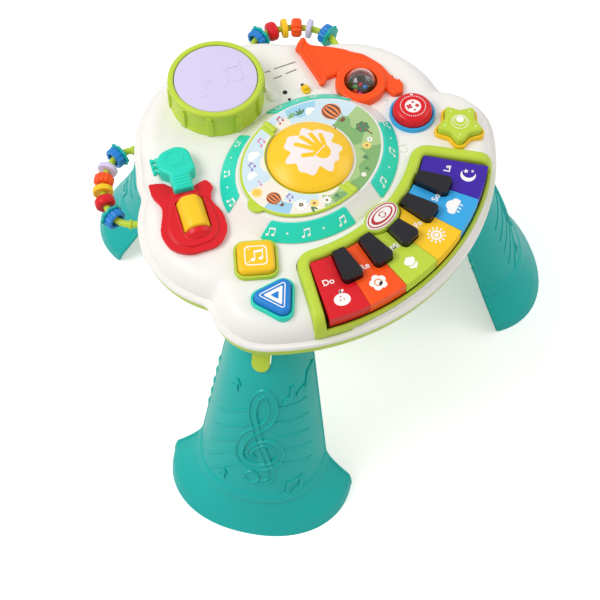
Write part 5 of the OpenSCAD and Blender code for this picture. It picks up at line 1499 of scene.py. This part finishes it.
fitted(joined("padNotes", *raised(deckRelief["drumNotes"], "lilac", 342.1, 1, 0.45)), "drum_pad")
x, y, r, high = deckRelief["stickHead"]
cap = [(r * sin(radians(a)), 307.6 + high * cos(radians(a))) for a in spread(90, 14, 8)]
stickPath = [(*p, levels["deck"]) for p in deckRelief["stick"]]
stickParts = [bar("stick", stickPath, [1.6, 2, 2.4]), discs("stickHead", cap, 48, x, y)]
for part in stickParts:
    painted(smoothed(part, 60), look["white"])
deckNotes = raised(deckRelief["deckNotes"], "white", 307.9, 2, 0.8)
fitted(joined("deckRelief", *stickParts, *deckNotes), "table")

# Marks on the light arcs: three pairs of notes and two dots on each, laid on the sloping flank
arcPrint = {"first": 21, "apart": 12.4, "z": 316, "proud": 0.05}
s = flankInset(arcPrint["z"]) - plate["arcProud"]
a, b = plate["a"] - s, plate["b"] - s
films = []
for sx, sy in quadrants:
    for spot in range(5):
        t = radians(arcPrint["first"] + arcPrint["apart"] * spot)
        centre = Vector((a * cos(t) * sx, b * sin(t) * sy, arcPrint["z"] + arcPrint["proud"]))
        out = Vector((cos(t) / a * sx, sin(t) / b * sy, 0)).normalized()
        normal = (out * plate["rise"] + Vector((0, 0, plate["flank"]))).normalized()
        along = Vector((0, 0, 1)).cross(out).normalized()
        slope = Matrix((along, normal.cross(along), normal)).transposed().to_4x4()
        at = tableFrame @ Matrix.Translation(centre + normal * arcPrint["proud"]) @ slope
        marks = patch("white", roundLoop(1.1, count=24)) if spot % 2 else patches("white", noteLoops(8, True))
        films += [inked(loops, ink[colour], at, layer) for loops, colour, layer in marks]
fitted(joined("arcMarks", *films), "table")
print("arcs printed")

# Camera, light and floor
view = {"lens": 88.72, "at": (-0.6724, -0.6528, 1.5782), "turn": (30.17, 0, -47.70)}
bpy.ops.object.camera_add(location=view["at"], rotation=[radians(a) for a in view["turn"]])
camera = bpy.context.object
camera.data.lens = view["lens"]
camera.data.sensor_width = 36
camera.data.clip_start, camera.data.clip_end = 0.05, 30
bpy.context.scene.camera = camera
bpy.context.scene.view_settings.view_transform = 'Standard'

light = {"world": 0.6, "floor": "#f4f4f4", "glow": 0.4, "aim": (0, 0, 0.3),
         "boxes": {"key": ((-1.1, 0.9, 2.0), (1.4, 1.0), 26), "fill": ((1.4, -0.9, 1.6), (1.2, 1.2), 9)}}
world = bpy.data.worlds.new("studio")
bpy.context.scene.world = world
w = Tree(world)
seen, through, mirrored = [w.node('ShaderNodeLightPath', out=f"Is {ray} Ray")
                           for ray in ("Camera", "Transmission", "Glossy")]
dim, bright = [w.node('ShaderNodeBackground', {}, {"Color": (1, 1, 1, 1), "Strength": strength})
               for strength in (light["world"], 1)]
mixed = w.node('ShaderNodeMixShader', {}, {0: seen.most(through).most(mirrored), 1: dim, 2: bright})
w.node('ShaderNodeOutputWorld', {}, {"Surface": mixed})
for name, (place, size, power) in light["boxes"].items():
    bpy.ops.object.light_add(type='AREA', location=place)
    lamp = bpy.context.object
    lamp.name = name
    lamp.data.shape, lamp.data.size, lamp.data.size_y = 'RECTANGLE', size[0], size[1]
    lamp.data.energy = power
    lamp.rotation_euler = (Vector(light["aim"]) - Vector(place)).to_track_quat('-Z', 'Y').to_euler()

clearSelection()
bpy.ops.mesh.primitive_plane_add(size=8, location=(0, 0, 0))
floor = bpy.context.object
floor.name = "floor"
f = Finish("floorPaper")
flat = f.node('ShaderNodeBsdfDiffuse', {}, {"Color": tone(light["floor"])})
glow = f.node('ShaderNodeLightPath', out="Is Camera Ray") * light["glow"]
lift = f.node('ShaderNodeEmission', {}, {"Strength": glow})
f.node('ShaderNodeOutputMaterial', {}, {"Surface": f.node('ShaderNodeAddShader', {}, {0: flat, 1: lift})})
floor.data.materials.append(f.owner)

print("stage set")
